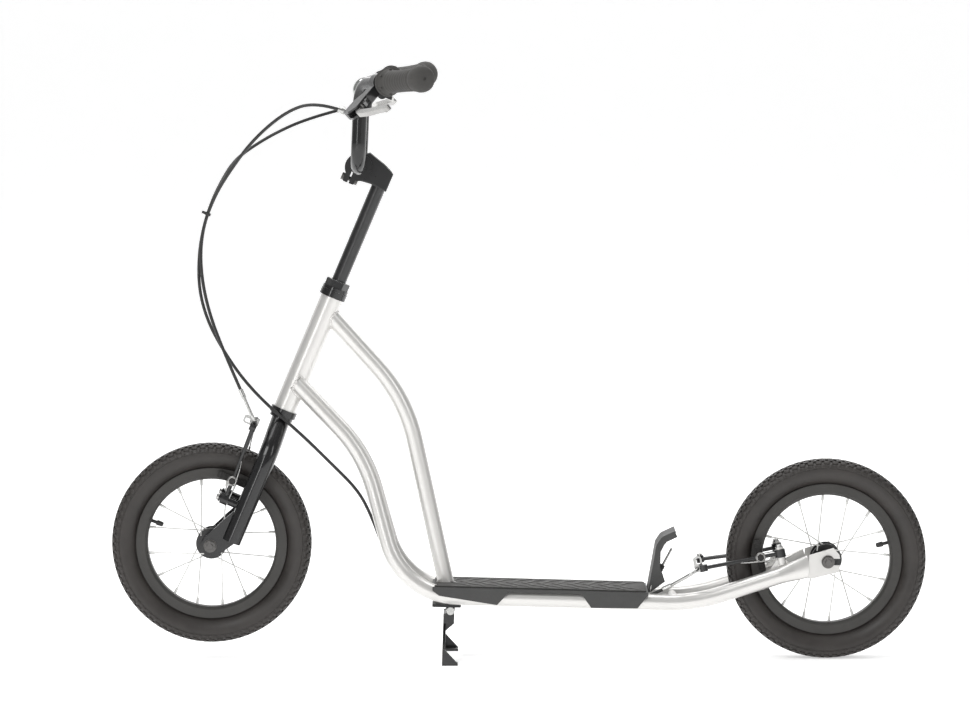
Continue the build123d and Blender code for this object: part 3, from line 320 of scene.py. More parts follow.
def span(link, node, factor, low, high, start=0.0, stop=1.0):
    """A number carried from one range to another."""
    ranged = node("MapRange")
    ranged.inputs[1].default_value, ranged.inputs[2].default_value = start, stop
    ranged.inputs[3].default_value, ranged.inputs[4].default_value = low, high
    link(factor, ranged.inputs[0])
    return ranged.outputs[0]


NOISE_RANGE = 0.3, 0.7
BUMP_HEIGHT = 0.0002


def bumped(link, node, shader, pattern, strength, height=BUMP_HEIGHT, invert=False):
    """Raise a surface by a pattern."""
    bump = node("Bump", Strength=strength, Distance=height, invert=invert)
    link(pattern, bump.inputs["Height"])
    link(bump.outputs[0], shader.inputs["Normal"])


def worn_finish(
    name, colour, rough, metal=0.0, coat=0.0, specular=0.5, grain=900.0, depth=0.02,
    blotch=0.06, spread=0.05, stretch=(1, 1, 1), coat_rough=0.08, flake=0.0,
):
    """A finish with fine grain, blotches of tone and uneven gloss."""
    link, node, shader = nodes_of(name)
    where = node("TexCoord").outputs["Object"]
    mapping = node("Mapping", Scale=stretch)
    link(where, mapping.inputs[0])
    grained = node("TexNoise", Scale=grain, Detail=4.0, Roughness=0.6)
    link(mapping.outputs[0], grained.inputs[0])
    blotched = node("TexNoise", Scale=24.0, Detail=5.0, Roughness=0.55)
    link(where, blotched.inputs[0])
    scuffed = node("TexNoise", Scale=130.0, Detail=6.0, Roughness=0.7)
    link(mapping.outputs[0], scuffed.inputs[0])
    dark = [c * (1 - blotch) for c in colour]
    light = [min(c * (1 + blotch) + blotch * 0.004, 1) for c in colour]
    mixed = node("Mix", data_type="FLOAT")
    mixed.inputs[0].default_value = 0.35 + flake
    link(blotched.outputs[0], mixed.inputs[2])
    link(grained.outputs[0], mixed.inputs[3])
    link(tone(link, node, dark, light, span(link, node, mixed.outputs[0], 0, 1, *NOISE_RANGE)),
         shader.inputs["Base Color"])
    link(span(link, node, scuffed.outputs[0], rough - spread, rough + spread, *NOISE_RANGE),
         shader.inputs["Roughness"])
    bumped(link, node, shader, grained.outputs[0], depth * 10)
    shader.inputs["Metallic"].default_value = metal
    shader.inputs["Coat Weight"].default_value = coat
    shader.inputs["Coat Roughness"].default_value = coat_rough
    shader.inputs["Specular IOR Level"].default_value = specular


RING_PITCH = 0.0016


def tyre_finish(name, colour, centre):
    """Moulded rubber with fine rings round the axle and pale dust in its blotches."""
    link, node, shader = nodes_of(name)
    where = node("TexCoord").outputs["Object"]
    mapping = node("Mapping", Location=-centre)
    link(where, mapping.inputs[0])
    flat = node("VectorMath", operation="MULTIPLY")
    flat.inputs[1].default_value = (1, 0, 1)
    link(mapping.outputs[0], flat.inputs[0])
    reach = node("VectorMath", operation="LENGTH")
    link(flat.outputs[0], reach.inputs[0])
    turns = node("Math", operation="MULTIPLY")
    turns.inputs[1].default_value = 2 * math.pi / RING_PITCH
    link(reach.outputs["Value"], turns.inputs[0])
    rings = node("Math", operation="SINE")
    link(turns.outputs[0], rings.inputs[0])
    pores = node("TexNoise", Scale=1400.0, Detail=3.0)
    dust = node("TexNoise", Scale=18.0, Detail=6.0, Roughness=0.65)
    link(where, pores.inputs[0])
    link(where, dust.inputs[0])
    link(tone(link, node, [c * 0.82 for c in colour], [c * 1.25 for c in colour],
              span(link, node, dust.outputs[0], 0, 1, 0.35, 0.68)), shader.inputs["Base Color"])
    link(span(link, node, dust.outputs[0], 0.38, 0.56, *NOISE_RANGE), shader.inputs["Roughness"])
    fine = node("Bump", Strength=0.22, Distance=BUMP_HEIGHT)
    link(pores.outputs[0], fine.inputs["Height"])
    ringed = node("Bump", Strength=0.10, Distance=BUMP_HEIGHT)
    link(rings.outputs[0], ringed.inputs["Height"])
    link(fine.outputs[0], ringed.inputs["Normal"])
    link(ringed.outputs[0], shader.inputs["Normal"])
    shader.inputs["Specular IOR Level"].default_value = 0.45


def mat_finish(name, colour, half_width):
    """Rubber mat, rubbed paler along the middle where feet stand."""
    link, node, shader = nodes_of(name)
    where = node("TexCoord").outputs["Object"]
    parts = node("SeparateXYZ")
    link(where, parts.inputs[0])
    across = node("Math", operation="ABSOLUTE")
    link(parts.outputs[1], across.inputs[0])
    centre = span(link, node, across.outputs[0], 1, 0, 0.1 * half_width, half_width)
    pores = node("TexNoise", Scale=1600.0, Detail=3.0)
    scuffs = node("TexNoise", Scale=60.0, Detail=7.0, Roughness=0.7)
    link(where, pores.inputs[0])
    link(where, scuffs.inputs[0])
    rubbed = node("Math", operation="MULTIPLY")
    link(centre, rubbed.inputs[0])
    link(scuffs.outputs[0], rubbed.inputs[1])
    link(tone(link, node, [c * 0.85 for c in colour], [c * 1.5 for c in colour], rubbed.outputs[0]),
         shader.inputs["Base Color"])
    link(span(link, node, scuffs.outputs[0], 0.6, 0.8, *NOISE_RANGE), shader.inputs["Roughness"])
    bumped(link, node, shader, pores.outputs[0], 0.35)


def bracket_finish(name, rear, front):
    """Silver lacquer on the rear brackets and black on the stand's."""
    link, node, shader = nodes_of(name)
    where = node("TexCoord").outputs["Object"]
    parts = node("SeparateXYZ")
    link(where, parts.inputs[0])
    behind = span(link, node, parts.outputs[0], 0, 1, 0.0, 0.001)
    grain = node("TexNoise", Scale=1800.0, Detail=4.0)
    link(where, grain.inputs[0])
    link(tone(link, node, front, rear, behind), shader.inputs["Base Color"])
    link(span(link, node, behind, 0, 0.62), shader.inputs["Metallic"])
    link(span(link, node, grain.outputs[0], 0.30, 0.44, *NOISE_RANGE), shader.inputs["Roughness"])
    bumped(link, node, shader, grain.outputs[0], 0.12)


def knurled_finish(name, colour):
    """Grip rubber with a fine pebbled surface."""
    link, node, shader = nodes_of(name)
    where = node("TexCoord").outputs["Object"]
    pebble = node("TexVoronoi", Scale=700.0, feature="SMOOTH_F1")
    wear = node("TexNoise", Scale=45.0, Detail=6.0, Roughness=0.65)
    link(where, pebble.inputs[0])
    link(where, wear.inputs[0])
    link(tone(link, node, [c * 0.85 for c in colour], [c * 1.2 for c in colour],
              span(link, node, wear.outputs[0], 0, 1, *NOISE_RANGE)), shader.inputs["Base Color"])
    link(span(link, node, wear.outputs[0], 0.62, 0.78, *NOISE_RANGE), shader.inputs["Roughness"])
    bumped(link, node, shader, pebble.outputs["Distance"], 0.4, height=0.0003, invert=True)
    shader.inputs["Specular IOR Level"].default_value = 0.4


# ------------------------------------------------------------------ sizes and colours
class PaintColours(PropertyGroup):
    frame_paint: FloatVectorProperty(
        name="Frame", description="Silver lacquer of the frame", subtype="COLOR",
        default=(0.71, 0.70, 0.68), min=0, max=1,
    )
    gloss_black: FloatVectorProperty(
        name="Fork and bar", description="Gloss enamel of the fork, stem and bar", subtype="COLOR",
        default=(0.007, 0.007, 0.0075), min=0, max=1,
    )
    sheet_black: FloatVectorProperty(
        name="Deck", description="Powder coat of the deck and heel guard", subtype="COLOR",
        default=(0.050, 0.050, 0.049), min=0, max=1,
    )
    mat: FloatVectorProperty(
        name="Mat", description="Rubber of the deck's mat", subtype="COLOR",
        default=(0.046, 0.0445, 0.042), min=0, max=1,
    )
    tyre: FloatVectorProperty(
        name="Tyres", description="Rubber of the tyres", subtype="COLOR",
        default=(0.034, 0.030, 0.0275), min=0, max=1,
    )
    grip: FloatVectorProperty(
        name="Grips", description="Rubber of the grips", subtype="COLOR",
        default=(0.058, 0.056, 0.053), min=0, max=1,
    )


class TyreSizes(PropertyGroup):
    blocks: IntProperty(
        name="Blocks round", description="Tread blocks round the tyre", default=74, min=20,
        max=120,
    )
    tread_depth: FloatProperty(
        name="Tread depth", description="Height of the blocks above the casing", default=0.0022,
        min=0.0005, max=0.005, unit="LENGTH",
    )


class GripSizes(PropertyGroup):
    ribs: IntProperty(name="Ribs", description="Finger ribs on each grip", default=9, min=2, max=20)
    rib_height: FloatProperty(
        name="Rib height", description="Height of the finger ribs", default=0.0006, min=0,
        max=0.002, unit="LENGTH",
    )


class MatSizes(PropertyGroup):
    chevrons: IntProperty(
        name="Chevrons", description="Raised chevrons along the mat", default=13, min=3, max=30,
    )
    chevron_point: FloatProperty(
        name="Chevron point", description="How far each chevron points forward", default=0.034,
        min=0, max=0.08, unit="LENGTH",
    )


class StudioSettings(PropertyGroup):
    distance: FloatProperty(
        name="Camera distance", description="From the camera to the scooter", default=7.5, min=2,
        max=20, unit="LENGTH",
    )
    lens: FloatProperty(
        name="Lens", description="Focal length", default=182.88, min=20, max=400,
    )
    light: FloatProperty(
        name="Light", description="Strength of the lamps", default=1.0, min=0.1, max=5,
    )


# ------------------------------------------------------------------ pieces
class SCOOTER_OT_finishes(Operator):
    """Give every CAD node its own finish"""

    bl_idname = "scooter.finishes"
    bl_label = "Finishes"

    def execute(self, context):
        colours = context.scene.scooter_colours
        worn_finish("frame_silver", colours.frame_paint, 0.34, metal=0.62, coat=0.35, grain=2600,
                    depth=0.012, blotch=0.03, spread=0.05, coat_rough=0.22, flake=0.3)
        worn_finish("gloss_black", colours.gloss_black, 0.24, coat=0.55, grain=300, depth=0.006,
                    blotch=0.2, spread=0.05, coat_rough=0.06, specular=0.35)
        worn_finish("black_alloy", (0.009, 0.009, 0.0095), 0.33, coat=0.35, grain=1100,
                    depth=0.02, blotch=0.25, spread=0.08)
        worn_finish("rim_black", (0.052, 0.050, 0.047), 0.48, metal=0.3, grain=1300, depth=0.012,
                    blotch=0.12, spread=0.08)
        worn_finish("sheet_black", colours.sheet_black, 0.52, grain=1500, depth=0.06, blotch=0.14,
                    spread=0.09)
        mat_finish("mat_rubber", colours.mat, 0.062)
        knurled_finish("grip_rubber", colours.grip)
        for name, centre in (("front_tyre_rubber", FRONT_AXLE), ("rear_tyre_rubber", REAR_AXLE)):
            tyre_finish(name, colours.tyre, centre)
        worn_finish("tyre_rubber", colours.tyre, 0.7, grain=1200, depth=0.03, blotch=0.2)
        worn_finish("tube_rubber", (0.02, 0.02, 0.02), 0.6, grain=800, depth=0.02, blotch=0.1)
        worn_finish("pad_rubber", (0.022, 0.021, 0.020), 0.78, grain=1500, depth=0.08, blotch=0.3)
        worn_finish("polished_alloy", (0.40, 0.395, 0.385), 0.28, metal=1.0, grain=420, depth=0.010,
                    blotch=0.05, spread=0.07, stretch=(1, 12, 1))
        worn_finish("spoke_steel", (0.74, 0.74, 0.72), 0.42, metal=0.35, grain=900, depth=0.004,
                    blotch=0.08, spread=0.06)
        worn_finish("mat_ribs", [c * 1.55 for c in colours.mat], 0.62, grain=1500, depth=0.05,
                    blotch=0.16, spread=0.08)
        bracket_finish("bracket_paint", colours.frame_paint, colours.gloss_black)
        worn_finish("steel_bright", (0.52, 0.52, 0.51), 0.27, metal=1.0, grain=900, depth=0.008,
                    blotch=0.08, spread=0.08)
        worn_finish("nut_steel", (0.16, 0.155, 0.15), 0.36, metal=0.85, grain=1300, depth=0.03,
                    blotch=0.25, spread=0.1)
        worn_finish("bell_chrome", (0.66, 0.68, 0.66), 0.14, metal=1.0, grain=500, depth=0.003,
                    blotch=0.04, spread=0.05)
        worn_finish("black_plastic", (0.020, 0.020, 0.020), 0.46, grain=1700, depth=0.05,
                    blotch=0.15, spread=0.08)
        worn_finish("cable_black", (0.018, 0.018, 0.018), 0.38, grain=1500, depth=0.02, blotch=0.2,
                    spread=0.08)
        own = {
            "front_rim": "rim_black", "rear_rim": "rim_black", "front_spokes": "spoke_steel",
            "rear_spokes": "spoke_steel", "frame_brackets": "bracket_paint",
            "front_axle": "nut_steel", "rear_axle": "nut_steel", "stand_legs": "black_alloy",
        }
        for node, piece in frame["nodes"].items():
            slot = own.get(node) or next(
                (m.name.split(".")[0] for m in piece.data.materials if m), "black_alloy")
            finish = bpy.data.materials[slot] if slot in bpy.data.materials else None
            for index in range(len(piece.data.materials)):
                piece.material_slots[index].material = finish
        for node in ("lever_left", "lever_right", "stem"):
            piece = frame["nodes"][node]
            piece.modifiers.new("Weld", "WELD").merge_threshold = 0.00001
            rounding = piece.modifiers.new("Bevel", "BEVEL")
            rounding.width, rounding.segments, rounding.limit_method = 0.0012, 3, "ANGLE"
            rounding.angle_limit = math.radians(50)
        return {"FINISHED"}


class SCOOTER_OT_tyres(Operator):
    """Two pneumatic tyres with moulded sidewalls and block tread"""

    bl_idname = "scooter.tyres"
    bl_label = "Tyres"

    def execute(self, context):
        sizes = context.scene.scooter_tyres
        deep = sizes.tread_depth
        crown = WHEEL_RADIUS
        outer_side = [
            (0.0123, 0.1085), (0.0123, 0.1160), (0.0132, 0.1171), (0.0152, 0.1175), (0.0172, 0.1188),
            (0.0205, 0.1214), (0.0240, 0.1258), (0.0261, 0.1309), (0.0267, 0.1355), (0.0265, 0.1392),
            (0.0257, 0.1399), (0.0257, 0.1406), (0.0261, 0.1413), (0.0252, 0.1434), (0.0235, 0.1458),
            (0.0205, 0.1478), (0.0150, crown - deep - 0.0009), (0.0080, crown - deep - 0.0002),
            (0.0, crown - deep),
        ]
        inner_side = [(0.0, crown - 0.0060), (0.0150, crown - 0.0075), (0.0225, 0.1400),
                      (0.0232, 0.1340), (0.0215, 0.1270), (0.0150, 0.1200), (0.0098, 0.1150),
                      (0.0098, 0.1085)]
        outline = [(-y, r) for y, r in outer_side] + [(y, r) for y, r in reversed(outer_side[:-1])]
        outline += [(y, r) for y, r in reversed(inner_side)]
        outline += [(-y, r) for y, r in inner_side[1:]]
        casing = turned("tyre", Vector(), RIGHT, outline, steps=120, closed=True,
                        out=Vector((0, 0, 1)))
        step = 2 * math.pi / sizes.blocks

        def at(y, radius, angle, tilt=0.0):
            """A place, its way round and its way out, at an angle round the wheel."""
            out = Vector((math.sin(angle), 0, math.cos(angle)))
            round_way = Vector((math.cos(angle), 0, -math.sin(angle)))
            outwards = out * math.cos(tilt) + RIGHT * math.sin(tilt)
            return out * radius + RIGHT * y, round_way, outwards

        blocks = []
        for y, radius, half_step, tilt, size, skew in (
            (0.0042, crown - deep / 2, 0.0, 0.02, (0.0088, 0.0062, deep), 0.25),
            (0.0124, crown - deep / 2 - 0.0006, 0.5, 0.12, (0.0082, 0.0070, deep), -0.25),
            (0.0203, 0.1483, 0.0, 0.62, (0.0086, 0.0062, 0.0030), 0.15),
            (0.0249, 0.1436, 0.5, 1.15, (0.0064, 0.0056, 0.0020), 0.0),
        ):
            for hand in (-1, 1):
                centre, round_way, out = at(hand * y, radius, half_step * step, hand * tilt)
                side = out.cross(round_way)
                along = (round_way + side * skew * hand).normalized()
                blocks.append(block("tread", centre, size, along, out, 0.0005))
        tread = joined("tread", blocks)
        put_down()
        bpy.ops.object.empty_add(rotation=(0, step, 0))
        turner = context.object
        with_modifier(tread, "ARRAY", count=sizes.blocks, use_relative_offset=False,
                      use_object_offset=True, offset_object=turner)
        bpy.data.objects.remove(turner)
        for name, axle in (("front", FRONT_AXLE), ("rear", REAR_AXLE)):
            take(casing, tread)
            bpy.ops.object.duplicate()
            bpy.ops.object.join()
            bpy.ops.transform.translate(value=axle)
            tyre = named(f"{name}_tyre_treaded")
            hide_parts(f"{name}_tyre")
            place(tyre, f"{name}_wheel", "tyre_rubber", f"{name}_tyre_rubber")
        bpy.data.objects.remove(casing)
        bpy.data.objects.remove(tread)
        return {"FINISHED"}


class SCOOTER_OT_valves(Operator):
    """A valve with its cap on each rim"""

    bl_idname = "scooter.valves"
    bl_label = "Valves"

    def execute(self, context):
        for name, axle, angle in (("front", FRONT_AXLE, 160), ("rear", REAR_AXLE, 14)):
            turn = math.radians(angle)
            inwards = -Vector((math.cos(turn), 0, math.sin(turn)))
            foot = axle - inwards * 0.0990
            stem = turned(f"{name}_valve", foot, inwards, [
                (0, 0), (0, 0.0040), (0.0014, 0.0040), (0.0018, 0.0026), (0.0090, 0.0026),
                (0.0094, 0.0038), (0.0104, 0.0041), (0.0175, 0.0037), (0.0196, 0.0030), (0.0201, 0),
            ], steps=20)
            place(stem, f"{name}_wheel", "black_plastic")
        return {"FINISHED"}


class SCOOTER_OT_grips(Operator):
    """Ribbed rubber grips with a flange inside and a mushroom end"""

    bl_idname = "scooter.grips"
    bl_label = "Grips"

    def execute(self, context):
        sizes = context.scene.scooter_grips
        sweep, tilt = math.radians(26.1), math.radians(3.75)
        base_half, rise, lean = 0.075, 0.126, 0.002
        arm_length, grip_length = 0.2176, 0.124
        clamp = fork_at(-0.0395, 0, 0.6165)
        for name, hand in (("left", -1), ("right", 1)):
            way = (BACK * math.sin(sweep) * math.cos(tilt)
                   + RIGHT * hand * math.cos(sweep) * math.cos(tilt)
                   + UP * math.sin(tilt))
            corner = clamp + RIGHT * hand * base_half + UP * rise + BACK * lean
            start = corner + way * (arm_length - grip_length)
            outline = [(0.0, 0.0112), (0.0, 0.0203), (0.0006, 0.0211), (0.0016, 0.0213),
                       (0.0030, 0.0211), (0.0038, 0.0202), (0.0046, 0.0188), (0.0058, 0.0186),
                       (0.0072, 0.0194), (0.0092, 0.0190), (0.0112, 0.0180)]
            first, last = 0.014, 0.092
            for rib in range(sizes.ribs * 4 + 1):
                along = first + (last - first) * rib / (sizes.ribs * 4)
                waist = 0.0169 - 0.0006 * math.sin(math.pi * (along - first) / (last - first))
                swell = sizes.rib_height * 0.5 * math.cos(rib * math.pi / 2)
                outline.append((along, waist + swell))
            outline += [(0.0945, 0.0166), (0.0956, 0.0174), (0.0988, 0.0177), (0.1000, 0.0170),
                        (0.1020, 0.0168), (0.1045, 0.0173), (0.1075, 0.0183), (0.1110, 0.0192),
                        (0.1150, 0.01975), (0.1190, 0.0198), (0.1225, 0.0194), (0.1252, 0.0182),
                        (0.1270, 0.0164), (0.1282, 0.0136), (0.1288, 0.0100), (0.1290, 0.0050),
                        (0.1290, 0.0024), (0.1278, 0.0020), (0.1274, 0.0)]
            grip = turned(f"grip_{name}", start, way, outline, steps=64)
            out = square_to(way)
            side = way.cross(out)
            nubs = []
            for index in range(6):
                angle = index * math.pi / 3
                spoke = out * math.cos(angle) + side * math.sin(angle)
                centre = start + way * 0.0093 + spoke * 0.0186
                nubs.append(block("nub", centre, (0.010, 0.0030, 0.0020), way, spoke, 0.0007, 2))
            grip = joined(f"grip_{name}", [grip] + nubs)
            place(grip, "handlebar", "grip_rubber")
            if hand < 0:
                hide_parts("grips")
        return {"FINISHED"}


CABLE_RADIUS = 0.0025
FRONT_CABLE = [
    (-0.100, -0.130, 0.689), (-0.137, -0.128, 0.685), (-0.171, -0.119, 0.655),
    (-0.200, -0.102, 0.598), (-0.215, -0.072, 0.540), (-0.223, -0.046, 0.492),
    (-0.221, -0.0435, 0.441), (-0.204, -0.0435, 0.390), (-0.172, -0.044, 0.338),
    (-0.128, -0.047, 0.289), (-0.073, -0.056, 0.238),
]
REAR_CABLE_ON_FORK = [
    (-0.106, 0.130, 0.678), (-0.142, 0.124, 0.650), (-0.179, 0.103, 0.611),
    (-0.207, 0.072, 0.572), (-0.220, 0.040, 0.546), (-0.224, 0.002, 0.512),
    (-0.224, -0.034, 0.478), (-0.220, -0.0376, 0.438), (-0.209, -0.0385, 0.396),
    (-0.190, -0.037, 0.352), (-0.161, -0.034, 0.314), (-0.124, -0.031, 0.283),
    (-0.077, -0.029, 0.252), (-0.025, -0.029, 0.229),
]
REAR_CABLE_ON_FRAME = [
    (-0.808, -0.022, 0.173), (-0.760, -0.012, 0.127), (-0.717, -0.003, 0.085),
    (-0.696, 0.0, 0.045), (-0.680, -0.004, 0.005), (-0.658, -0.013, -0.035),
    (-0.622, -0.021, -0.060), (-0.576, -0.024, -0.069), (-0.528, -0.025, -0.071),
    (-0.470, -0.0255, -0.071), (-0.412, -0.0255, -0.0705), (-0.356, -0.025, -0.070),
    (-0.318, -0.026, -0.069), (-0.289, -0.0295, -0.067), (-0.267, -0.036, -0.060),
    (-0.249, -0.040, -0.050),
]
SLIDE_TOP, SLIDE_FOOT = fork_at(0, 0, 0.678), fork_at(0, 0, 0.374)


class SCOOTER_OT_cables(Operator):
    """The two brake cables, cut into pieces where the bar slides, and the rear one at its loop and
    tail
    """

    bl_idname = "scooter.cables"
    bl_label = "Brake cables"

    def execute(self, context):
        front = tube("front_cable_upper", [fork_at(*p) for p in FRONT_CABLE], CABLE_RADIUS)
        upper, lower = cut(front, "front_cable_lower", SLIDE_FOOT, -STEER_UP)
        fork_side = [fork_at(*p) for p in REAR_CABLE_ON_FORK]
        frame_side = [ride_at(*p) for p in REAR_CABLE_ON_FRAME]
        rear = tube("rear_cable_top", fork_side + frame_side, CABLE_RADIUS)
        top, rest = cut(rear, "rear_cable_turn", SLIDE_FOOT, -STEER_UP)
        loop_end = (frame_side[1] + frame_side[2]) / 2
        turn, run = cut(rest, "rear_cable_run_smooth", loop_end,
                        (frame_side[2] - frame_side[1]).normalized())
        tail_start, tail_end = frame_side[-3], frame_side[-1]
        run, tail = cut(run, "rear_cable_tail", tail_start, (tail_end - tail_start).normalized())
        for piece in (upper, lower, top, turn, run, tail):
            place(piece, None, "cable_black")
        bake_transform(upper)
        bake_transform(lower)
        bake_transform(top)
        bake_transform(turn)
        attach(run, "frame")
        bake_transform(tail)
        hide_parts("front_brake_cable")
        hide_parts("rear_cable_upper")
        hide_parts("rear_cable_middle")
        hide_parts("rear_cable_run")
        take(frame["nodes"]["cable_tie"])
        bpy.ops.object.duplicate()
        band = context.object
        band.name = band.data.name = "tie_band"
        band.parent = None
        for key in list(band.keys()):
            if key.startswith("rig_"):
                del band[key]
        start_edit(band)
        bpy.ops.mesh.select_all(action="SELECT")
        bpy.ops.mesh.remove_doubles(threshold=1e-6)
        put_down()
        with_modifier(band, "BEVEL", width=0.0003, segments=2, limit_method="ANGLE")
        place(band, None, "black_plastic")
        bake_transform(band)
        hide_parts("cable_tie")
        return {"FINISHED"}


class SCOOTER_OT_mat(Operator):
    """Raised chevrons on the deck's mat, pointing forward"""

    bl_idname = "scooter.mat"
    bl_label = "Mat chevrons"

    def execute(self, context):
        sizes = context.scene.scooter_mat
        surface = DECK_TOP + MAT_THICKNESS
        first, last, margin = -0.286, -0.596, 0.004
        pitch, half, thick = 0.0235, 0.054, 0.0008
        point = sizes.chevron_point
        ribs = []
        for index in range(sizes.chevrons):
            at = first - point - index * pitch
            if at - margin < last:
                break
            put_down()
            bpy.ops.mesh.primitive_grid_add(x_subdivisions=2, y_subdivisions=24, size=1)
            rib = context.object
            rib.scale = (0.0085, 2 * half, 1)
            rib = named("chevron")
            start_edit(rib)
            mesh = bmesh.from_edit_mesh(rib.data)
            for vertex in mesh.verts:
                spread = abs(vertex.co.y) / half
                wave = 0.0026 * math.sin(spread * 3 * math.pi)
                narrow = 1.0 - 0.45 * spread
                vertex.co.x = vertex.co.x * narrow + point * spread + wave
            bmesh.update_edit_mesh(rib.data)
            bpy.ops.mesh.select_all(action="SELECT")
            bpy.ops.mesh.extrude_region_move(TRANSFORM_OT_translate={"value": (0, 0, thick)})
            bpy.ops.mesh.select_all(action="SELECT")
            bpy.ops.mesh.normals_make_consistent(inside=False)
            put_down()
            with_modifier(rib, "BEVEL", width=0.0003, segments=2, limit_method="ANGLE")
            turn = Matrix((BACK, RIGHT, UP)).transposed().to_4x4()
            rib.data.transform(Matrix.Translation(ride_at(at, 0, surface)) @ turn)
            ribs.append(rib)
        chevrons = joined("mat_chevrons", ribs)
        smooth(chevrons, 35)
        place(chevrons, "frame", "mat_rubber", "mat_ribs")
        return {"FINISHED"}


def brake_frame(name):
    """The middle between a brake's pivots, the way out along its studs and the way to its tips."""
    left, right = (Vector(JOINTS[f"{name}_brake_{side}"]["pos_m"]) for side in ("left", "right"))
    out = Vector(JOINTS[f"{name}_brake_left"]["axis"]).normalized()
    if name == "front":
        out = out if out.dot(STEER_BACK) < 0 else -out
        tips = STEER_UP
    else:
        out = out if out.dot(UP) > 0 else -out
        tips = -(BACK - out * BACK.dot(out)).normalized()
    return (left + right) / 2, out, tips


class SCOOTER_OT_brake_details(Operator):
    """Inner wires, rubber boots, wire tails and screws of both rim brakes"""

    bl_idname = "scooter.brake_details"
    bl_label = "Brake details"

    def execute(self, context):
        body = {"front": "fork", "rear": "frame"}
        pivot_half, pad_reach, wire_reach, bolt_reach = 0.042, 0.0305, 0.128, 0.119
        rim_half, pad_gap, rib_inset = 0.015, 0.0025, 0.0045
        wire_radius = 0.0008
        for name, tip_half in (("front", 0.048), ("rear", 0.060)):
            origin, out, tips = brake_frame(name)

            def at(stud, y, along):
                return origin + out * stud + RIGHT * y + tips * along

            inner = at(0.003, -tip_half + 0.014, wire_reach)
            anchor = at(0.003, tip_half - 0.001, wire_reach)
            centre = (inner + anchor) / 2
            way = (anchor - inner).normalized()
            wire = tube(f"{name}_inner_wire", [inner - way * 0.004, centre, anchor], wire_radius,
                        nurbs=False)
            near, far = cut(wire, f"{name}_inner_wire_far", centre, way)
            for piece, arm, mid_end in ((near, "left", inner), (far, "right", anchor)):
                place(piece, None, "steel_bright")
                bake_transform(piece)
            folds = [(-0.003, 0.0), (-0.003, 0.0040)]
            for fold in range(5):
                folds += [(0.0005 + fold * 0.0034, 0.0044), (0.0022 + fold * 0.0034, 0.0031)]
            folds += [(0.0190, 0.0026), (0.0200, 0.0013), (0.0200, 0.0)]
            boot = turned(f"{name}_boot", inner + way * 0.001, way, folds, steps=24)
            place(boot, None, "pad_rubber")
            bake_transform(boot)
            drop = [anchor, anchor + RIGHT * 0.007 - tips * 0.002,
                    anchor + RIGHT * 0.011 - tips * 0.016 - out * 0.002,
                    anchor + RIGHT * 0.010 - tips * 0.034 - out * 0.004,
                    anchor + RIGHT * 0.013 - tips * 0.052 - out * 0.007]
            tail = tube(f"{name}_wire_tail", drop, wire_radius)
            crimp = turned(f"{name}_crimp", drop[-1], (drop[-1] - drop[-2]).normalized(), [
                (-0.003, 0.0), (-0.003, 0.0014), (0.0, 0.0016), (0.004, 0.0015), (0.0048, 0.0),
            ], steps=12)
            place(tail, f"{name}_arm_right", "steel_bright")
            place(crimp, f"{name}_arm_right", "polished_alloy")
            anchor_bolt = screw_head(f"{name}_anchor_bolt", at(0.008, tip_half, bolt_reach), out,
                                     0.0042, 0.0038)
            place(anchor_bolt, f"{name}_arm_right", "steel_bright")
            for side, hand in (("left", -1), ("right", 1)):
                arm = f"{name}_arm_{side}"
                pivot = at(0.0094, hand * pivot_half, 0)
                place(screw_head(f"{name}_pivot_bolt_{side}", pivot, out, 0.0044, 0.0040),
                      body[name], "steel_bright")
                bolt_end = at(0, hand * 0.0466, pad_reach)
                washer = turned(f"{name}_pad_washer_{side}", bolt_end, RIGHT * hand, [
                    (0.0, 0.0), (0.0, 0.0078), (0.0008, 0.0078), (0.0022, 0.0062), (0.0022, 0.0),
                ], steps=28)
                place(washer, arm, "polished_alloy")
                spring = tube(f"{name}_return_spring_{side}", [
                    at(-0.0060, hand * 0.047, 0.004), at(-0.0066, hand * 0.0500, 0.018),
                    at(-0.0050, hand * 0.0505, 0.040), at(-0.0030, hand * 0.0490, 0.058),
                    at(-0.0010, hand * 0.0480, 0.064)], 0.0009)
                place(spring, arm, "steel_bright")
            for side, hand in (("left", -1), ("right", 1)):
                pad_at = at(0, hand * (rim_half + pad_gap + rib_inset), pad_reach)
                ribs = joined(f"{name}_pad_ribs_{side}", [
                    block("pad_rib", pad_at + out * index * 0.0066, (0.0028, 0.0088, 0.0104), out,
                          tips, 0.0004)
                    for index in range(-3, 4)
                ])
                place(ribs, f"{name}_arm_{side}", "pad_rubber")
        return {"FINISHED"}


class SCOOTER_OT_guard_strap(Operator):
    """The short strap with its black head behind the heel guard"""

    bl_idname = "scooter.guard_strap"
    bl_label = "Guard strap"

    def execute(self, context):
        foot, tip = ride_at(-0.2500, 0, -0.0190), ride_at(-0.2360, 0, 0.0090)
        way = (tip - foot).normalized()
        face = way.cross(RIGHT).normalized()
        size = ((tip - foot).length, 0.012, 0.0030)
        strap = block("guard_strap", (foot + tip) / 2, size, way, face, 0.0012, 3)
        start_edit(strap)
        pick(strap, "verts", lambda at: (at - tip).dot(way) > -0.004)
        bpy.ops.transform.resize(value=(1, 0.6, 1))
        put_down()
        place(strap, "frame", "polished_alloy")
        size = (0.011, 0.018, 0.0070)
        head = block("guard_strap_head", foot - way * 0.003, size, way, face, 0.0015, 3)
        place(head, "frame", "black_plastic")
        return {"FINISHED"}


